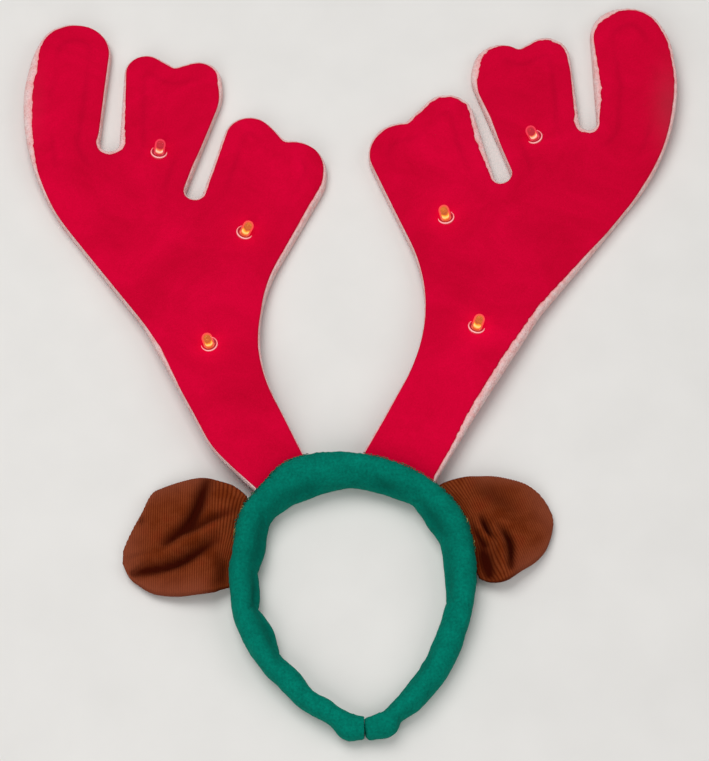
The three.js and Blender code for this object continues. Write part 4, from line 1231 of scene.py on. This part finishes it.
def make_light(name, resins, hearts, plastic):
    pose = light_pose(name)
    state = LIGHTS[name][-1]
    profile = [
        (0, -LENS_SUNK),
        *((FLANGE_RADIUS + past, above - LENS_SUNK) for past, above in FLANGE_EDGE),
        *((LENS_RADIUS + past, above - LENS_SUNK) for past, above in FLANGE_TOP),
        (LENS_RADIUS, 0), *domed(LENS_RADIUS),
    ]
    points, faces, _ = turned_on_lathe(profile, pose)
    lens = piece(f"light_lens_{name}", points, faces, resins[state], "lens_orange")

    # The chip in its cup, and the resin that it lights
    foot, waist = (share * HEART_RADIUS for share in HEART_TAPER)
    profile = [(0, HEART_FOOT), (foot, HEART_FOOT), (waist, 0), *domed(HEART_RADIUS)]
    points, faces, height = turned_on_lathe(profile, pose)
    marks = {"height": height / (LENS_BARREL + HEART_RADIUS)}
    heart = piece(f"light_chip_{name}", points, faces, hearts[state], "lens_orange", marks)

    # The collar leans with its light, so its near side stands out of the pile.
    profile = [row[:2] for row in COLLAR_SECTION]
    points, faces, _ = turned_on_lathe(profile, light_pose(name, COLLAR_LEAN), closed=True)
    # pale: the painted highlight of each point of the section
    marks = {"pale": np.repeat([row[2] for row in COLLAR_SECTION], LATHE_SIDES)}
    collar = piece(f"light_collar_{name}", points, faces, plastic, "collar_clear", marks)
    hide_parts(f"led_{name}")
    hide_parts(f"led_collar_{name}")
    return [lens, heart, collar]


# Ears


def ear_edges(side, across):
    """Lower and upper edge of an ear at places across its ribs."""
    place, low, high = through(np.array(EAR_SECTIONS[side]), np.linspace(0, 1, EAR_LINE_STEPS)).T
    return np.interp(across, place, low), np.interp(across, place, high)


def loft(share, fullness):
    return np.sqrt(np.maximum(0, 1 - np.abs(share) ** fullness))


def ear_layers(side):
    """Both layers of an ear as grids, columns across the ribs and rows along them, and the painted shade of
    their creases.
    """
    tip = EAR_SECTIONS[side][-1][0]
    across = np.linspace(0, tip, EAR_COLUMNS + 1)
    low, high = ear_edges(side, across)
    even = np.linspace(0, 1, EAR_ROWS + 1)
    share = 0.5 * (1 - np.cos(math.pi * even)) / 2 + 0.5 * even
    a = np.repeat(across[:, None], EAR_ROWS + 1, axis=1)
    b = low[:, None] + (high - low)[:, None] * share
    meets = np.array(EAR_MEETS[side]).T
    drawn = a + np.interp(b, *meets) * (1 - ease(0, EAR_MEETS_WIDTH, a))
    where = 2 * share[None, :] - 1
    puff = loft(where, EAR_SIDE_LOFT) * loft(a / tip, EAR_TIP_LOFT)
    freed = ease(0, EAR_SEAM_REACH, a)
    base = EAR_SEAM_HEIGHT + (EAR_TIP_HEIGHT - EAR_SEAM_HEIGHT) * ease(0, tip, a)
    base = base - EAR_TUCK * (1 - freed) * ease(*EAR_TUCK_SPAN, b)
    spots = np.c_[drawn.ravel(), b.ravel()]
    folds = np.zeros(len(spots))
    for *ends, height, width in EAR_FOLDS[side]:
        line = through(np.array(ends, float), np.linspace(0, 1, EAR_FOLD_STEPS))
        gap = np.linalg.norm(spots[:, None] - line[None], axis=2)
        along = EAR_FOLD_ENDS + (1 - 2 * EAR_FOLD_ENDS) * gap.argmin(axis=1) / (EAR_FOLD_STEPS - 1)
        folds += height * hump(gap.min(axis=1), width) * np.sqrt(np.sin(math.pi * along))
    folds = folds.reshape(a.shape)
    free = np.minimum(np.minimum(share, 1 - share)[None, :] * (high - low)[:, None], tip - a)
    # Painted shade in the creases, darker where a fold sinks deeper
    sunk = np.clip(-folds / EAR_CREASE_SHADE, 0, 1) * ease(*EAR_CREASE_SHADE_SPAN, a) * ease(0, EAR_CREASE_SHADE_EDGE, free)
    folds = folds * ease(0, EAR_FOLDS_STOP, free)
    middle = base + (EAR_CUP * where**2 * puff + folds) * (EAR_SEWN_FOLD + (1 - EAR_SEWN_FOLD) * freed)
    full = EAR_SEWN_THICK + (1 - EAR_SEWN_THICK) * freed
    thick = EAR_EDGE + (EAR_THICKNESS - EAR_EDGE) * puff * full
    under = np.maximum(EAR_LOWEST, middle - thick / 2)
    return np.stack([drawn, b, under + thick], axis=2), np.stack([drawn, b, under], axis=2), sunk


def layer_faces(columns, rows):
    """Faces of two layers that meet round their rim: the upper grid's points come first."""
    stride, shift = rows + 1, (columns + 1) * (rows + 1)
    faces = []
    for column in range(columns):
        for row in range(rows):
            k = column * stride + row
            faces.append((k, k + stride, k + stride + 1, k + 1))
            faces.append((shift + k, shift + k + 1, shift + k + stride + 1, shift + k + stride))
        low, high = column * stride, column * stride + rows
        faces.append((shift + low, shift + low + stride, low + stride, low))
        faces.append((high, high + stride, shift + high + stride, shift + high))
    for row in range(rows):
        end = columns * stride + row
        faces.append((row, row + 1, shift + row + 1, shift + row))
        faces.append((shift + end, shift + end + 1, end + 1, end))
    return faces


def finer(grid, columns, rows):
    """A grid of points drawn through at more columns and rows."""
    tall = through(grid.reshape(len(grid), -1), np.linspace(0, 1, columns + 1), even=True)
    tall = tall.reshape(columns + 1, grid.shape[1], 3).transpose(1, 0, 2)
    wide = through(tall.reshape(len(tall), -1), np.linspace(0, 1, rows + 1), even=True)
    return wide.reshape(rows + 1, columns + 1, 3).transpose(1, 0, 2)


def tree_of(name, shape, sizes, result):
    """A new node tree for shapes with named inputs and output, and the sockets of its inputs."""
    tree = bpy.data.node_groups.new(name, "GeometryNodeTree")
    tree.interface.new_socket(shape, in_out="INPUT", socket_type="NodeSocketGeometry")
    for size in sizes:
        tree.interface.new_socket(size, in_out="INPUT", socket_type="NodeSocketFloat")
    tree.interface.new_socket(result, in_out="OUTPUT", socket_type="NodeSocketGeometry")
    return tree, tree.nodes.new("NodeGroupInput").outputs


# Kinds of node in the ribs and stitches
NAMED = "GeometryNodeInputNamedAttribute"
STORE = "GeometryNodeStoreNamedAttribute"
REALIZE = "GeometryNodeRealizeInstances"
DYE = "GeometryNodeSetMaterial"


def rib_tree(material):
    """Raises the wales of corduroy: each point moves along its normal by its rib's rounded profile."""
    tree, given = tree_of("corduroy_ribs", "Cloth", ("Pitch", "Height"), "Ribbed")
    across = add(tree, NAMED, {"Name": "across"}, data_type="FLOAT")
    fade = add(tree, NAMED, {"Name": "fade"}, data_type="FLOAT")
    turns = add(tree, MATH, {0: across, 1: given["Pitch"]}, operation="DIVIDE")
    phase = add(tree, MATH, {0: turns, 1: math.pi}, operation="MULTIPLY")
    wave = add(tree, MATH, {0: phase}, operation="SINE")
    crest = add(tree, MATH, {0: wave}, operation="ABSOLUTE")
    round_top = add(tree, MATH, {0: crest, 1: RIB_ROUND}, operation="POWER")
    faded = add(tree, MATH, {0: round_top, 1: fade}, operation="MULTIPLY")
    rise = add(tree, MATH, {0: faded, 1: given["Height"]}, operation="MULTIPLY")
    normal = add(tree, "GeometryNodeInputNormal")
    offset = add(tree, "ShaderNodeVectorMath", {0: normal, "Scale": rise}, operation="SCALE")
    moved = add(tree, "GeometryNodeSetPosition", {"Geometry": given["Cloth"], "Offset": offset})
    marks = {"Geometry": moved, "Name": "rib", "Value": faded}
    marked = add(tree, STORE, marks, data_type="FLOAT", domain="POINT")
    real = add(tree, REALIZE, {"Geometry": marked})
    add(tree, "NodeGroupOutput", {"Ribbed": add(tree, DYE, {"Geometry": real, "Material": material})})
    return tree


def grown(made, tree, values):
    """The plain mesh that a node tree makes of an object, with the tree's named inputs set."""
    modifier = made.modifiers.new("grow", "NODES")
    modifier.node_group = tree
    sockets = {item.name: item.identifier for item in tree.interface.items_tree if item.in_out == "INPUT"}
    for name, value in values.items():
        modifier[sockets[name]] = value
    result = bpy.data.meshes.new_from_object(made.evaluated_get(bpy.context.evaluated_depsgraph_get()))
    made.modifiers.remove(modifier)
    return result


def make_ear(side, corduroy, ribs):
    place = EAR_PLACES[side]
    upper, lower, sunk = ear_layers(side)
    points = np.vstack([upper.reshape(-1, 3), lower.reshape(-1, 3)])
    held = np.full(upper.shape[:2], EAR_HELD)
    held[1:-1, 1:-1] = 0.0
    held[:2] = 1.0
    cut = points * (EAR_SPARE, EAR_SPARE, 1)
    faces = layer_faces(EAR_COLUMNS, EAR_ROWS)
    points = settle(points, cut, faces, np.tile(held.ravel(), 2), EAR_PRESSURE, EAR_FRAMES, EAR_MOVE)
    tip = EAR_SECTIONS[side][-1][0]
    columns = round(tip / RIB_PITCH * RIB_CUTS)
    layers = points.reshape(2, *upper.shape)
    fine = np.vstack([finer(layer, columns, RIB_ROWS).reshape(-1, 3) for layer in layers])
    fine[:, 2] = np.maximum(fine[:, 2], 0.0)
    column, row = np.meshgrid(np.linspace(0, 1, columns + 1), np.linspace(0, 1, RIB_ROWS + 1), indexing="ij")
    side_edge = np.minimum(row, 1 - row)
    rim = np.minimum(side_edge * RIB_ROWS, np.minimum(column, 1 - column) * columns / RIB_FADE_COLUMNS)
    # The creases' painted shade, drawn through at the finer grid
    deep = finer(np.repeat(sunk[:, :, None], 3, axis=2), columns, RIB_ROWS)[..., 0]
    # Painted highlight along the free edge
    free = np.minimum(side_edge * EAR_LENGTH, (1 - column) * tip)
    rubbed = EAR_HIGHLIGHT * hump(free, EAR_HIGHLIGHT_WIDTH) * ease(*EAR_HIGHLIGHT_SPAN, column * tip)
    marks = {
        "across": np.tile((column * tip).ravel(), 2),
        "fade": np.tile(ease(0, RIB_FADE, rim).ravel(), 2),
        "crease": np.r_[np.clip(deep, 0, 1).ravel(), np.zeros(deep.size)],
        "rubbed": np.tile(rubbed.ravel(), 2),
    }
    laid_out = put_down(place, place["turn"], fine, fine[:, 2])
    faces = handed(place, layer_faces(columns, RIB_ROWS))
    ear = piece(f"ear_corduroy_{side}", laid_out, faces, corduroy, "corduroy_brown", marks)
    ear.data = grown(ear, ribs, {"Pitch": RIB_PITCH, "Height": RIB_HEIGHT * MM})
    ear.data.name = ear.name
    ear.data.shade_smooth()
    low = np.zeros(len(ear.data.vertices) * 3, np.float32)
    ear.data.vertices.foreach_get("co", low)
    low[2::3] = np.maximum(low[2::3], 0)
    ear.data.vertices.foreach_set("co", low)
    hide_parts(f"ear_{side}")
    return ear


# Seam


def stitch_shape():
    """One whip stitch: a short bowed length of thread."""
    points, faces = [], []
    rings = [range(ring * STITCH_SIDES, (ring + 1) * STITCH_SIDES) for ring in range(STITCH_RINGS)]
    for share in np.linspace(-1, 1, STITCH_RINGS):
        thin = STITCH_THREAD / 2 * (1 - STITCH_THIN * abs(share) ** 4)
        bow = (1 - share**2) * STITCH_BOW
        for turn in np.arange(STITCH_SIDES) / STITCH_SIDES * 2 * math.pi:
            points.append((thin * math.cos(turn), share * STITCH_LENGTH / 2, thin * math.sin(turn) + bow))
    for here, there in zip(rings, rings[1:]):
        faces += between(there, here)
    mesh = mesh_of("stitch", np.array(points) * MM, [*faces, rings[0], rings[-1][::-1]])
    mesh.shade_smooth()
    return bpy.data.objects.new("stitch", mesh)


def stitch_tree(stitch, material):
    """Whip stitches at even steps along a seam, each slanted a little differently."""
    tree, given = tree_of("whip_stitches", "Seam", ("Spacing", "Slant", "Unevenness"), "Stitches")
    line = add(tree, "GeometryNodeMeshToCurve", {"Mesh": given["Seam"]})
    spaced = {"Curve": line, "Length": given["Spacing"]}
    steps = add(tree, "GeometryNodeResampleCurve", spaced, mode="LENGTH")
    tangent = add(tree, "GeometryNodeInputTangent")
    outwards = add(tree, NAMED, {"Name": "outwards"}, data_type="FLOAT_VECTOR")
    align = "FunctionNodeAlignRotationToVector"
    along = add(tree, align, {"Vector": tangent}, axis="X", pivot_axis="AUTO")
    over = add(tree, align, {"Rotation": along, "Vector": outwards}, axis="Z", pivot_axis="X")
    dice = "FunctionNodeRandomValue"
    uneven = add(tree, dice, {"Min": -1.0, "Max": 1.0, "Seed": STITCH_SEEDS["slant"]}, data_type="FLOAT")
    swing = add(tree, MATH, {0: uneven, 1: given["Unevenness"], 2: given["Slant"]}, operation="MULTIPLY_ADD")
    slant = add(tree, "ShaderNodeCombineXYZ", {"Z": swing})
    twist = add(tree, "FunctionNodeEulerToRotation", {"Euler": slant})
    both = {"Rotation": over, "Rotate By": twist}
    turned = add(tree, "FunctionNodeRotateRotation", both, rotation_space="LOCAL")
    least, most = STITCH_SIZES
    size = add(tree, dice, {"Min": least, "Max": most, "Seed": STITCH_SEEDS["size"]}, data_type="FLOAT")
    shape = add(tree, "GeometryNodeObjectInfo", {"Object": stitch}, out="Geometry")
    laid_on = {"Points": steps, "Instance": shape, "Rotation": turned, "Scale": size}
    placed = add(tree, "GeometryNodeInstanceOnPoints", laid_on)
    paler = add(tree, NAMED, {"Name": "paler"}, data_type="FLOAT")
    tone = add(tree, dice, {"Min": 0.0, "Max": paler, "Seed": STITCH_SEEDS["tone"]}, data_type="FLOAT")
    marks = {"Geometry": placed, "Name": "thread_tone", "Value": tone}
    marked = add(tree, STORE, marks, data_type="FLOAT", domain="INSTANCE")
    real = add(tree, REALIZE, {"Geometry": marked})
    add(tree, "NodeGroupOutput", {"Stitches": add(tree, DYE, {"Geometry": real, "Material": material})})
    return tree


def make_seam(sleeve):
    """Stitches along the sleeve's sewn edge: beside the lip at the ears, on the shoulder at the antlers."""
    middle = sleeve.mean(axis=1)
    first, last = (np.linalg.norm(middle[:, :2] - spot, axis=1).argmin() for spot in (SEAM_START, SEAM_END))
    path, facing, paler = [], [], []
    for ring in range(first, last + 1):
        way = middle[min(ring + 1, last)] - middle[max(ring - 1, first)]
        outward = np.array((-way[1], way[0])) / np.hypot(way[0], way[1])
        angle = SEAM_ANGLE_SIDE + (SEAM_ANGLE_TOP - SEAM_ANGLE_SIDE) * ease(*SEAM_TURN, outward[1])
        spot = angle / 360 * sleeve.shape[1]
        below, share = int(spot), spot - int(spot)
        path.append(sleeve[ring, below] * (1 - share) + sleeve[ring, below + 1] * share)
        facing.append((*(outward * math.cos(math.radians(angle))), math.sin(math.radians(angle))))
        paler.append(1 - SEAM_PALE * ease(*SEAM_PALE_SPAN, outward[1]))
    bare_from, bare_to = SEAM_BARE
    sewn = [(k, k + 1) for k in range(len(path) - 1) if not bare_from < path[k][0] < bare_to]
    mesh = mesh_of("seam", metres(path), [], sewn)
    ways = np.array(facing, np.float32).ravel()
    mesh.attributes.new("outwards", "FLOAT_VECTOR", "POINT").data.foreach_set("vector", ways)
    mesh.attributes.new("paler", "FLOAT", "POINT").data.foreach_set("value", np.array(paler, np.float32))
    line = shown("seam", mesh)
    stitch = stitch_shape()
    values = {"Spacing": STITCH_GAP * MM, "Slant": STITCH_SLANT, "Unevenness": STITCH_UNEVEN}
    made = grown(line, stitch_tree(stitch, sewing_thread()), values)
    for used in (line, stitch):
        shape = used.data
        bpy.data.objects.remove(used)
        bpy.data.meshes.remove(shape)
    made.name = "seam_whip_stitches"
    made.shade_smooth()
    stitches = shown("seam_whip_stitches", made)
    stitches["slot"] = "felt_green"
    return stitches


# Assembly

studio()
velour = short_pile_velour()
foam = cut_foam()
corduroy = fine_corduroy()
plastic = clear_plastic()
ribs = rib_tree(corduroy)
band, sleeve = make_band()
pieces = [band]
for side in ANTLER_PLACES:
    pieces += make_antler(side, velour, foam)
resins = {state: lens_resin(state) for state in GLOWS}
hearts = {state: lit_heart(state) for state in GLOWS}
for name in LIGHTS:
    pieces += make_light(name, resins, hearts, plastic)
for side in EAR_PLACES:
    pieces.append(make_ear(side, corduroy, ribs))
pieces.append(make_seam(sleeve))
for made in pieces:
    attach(made, BODY)
    del made["slot"]
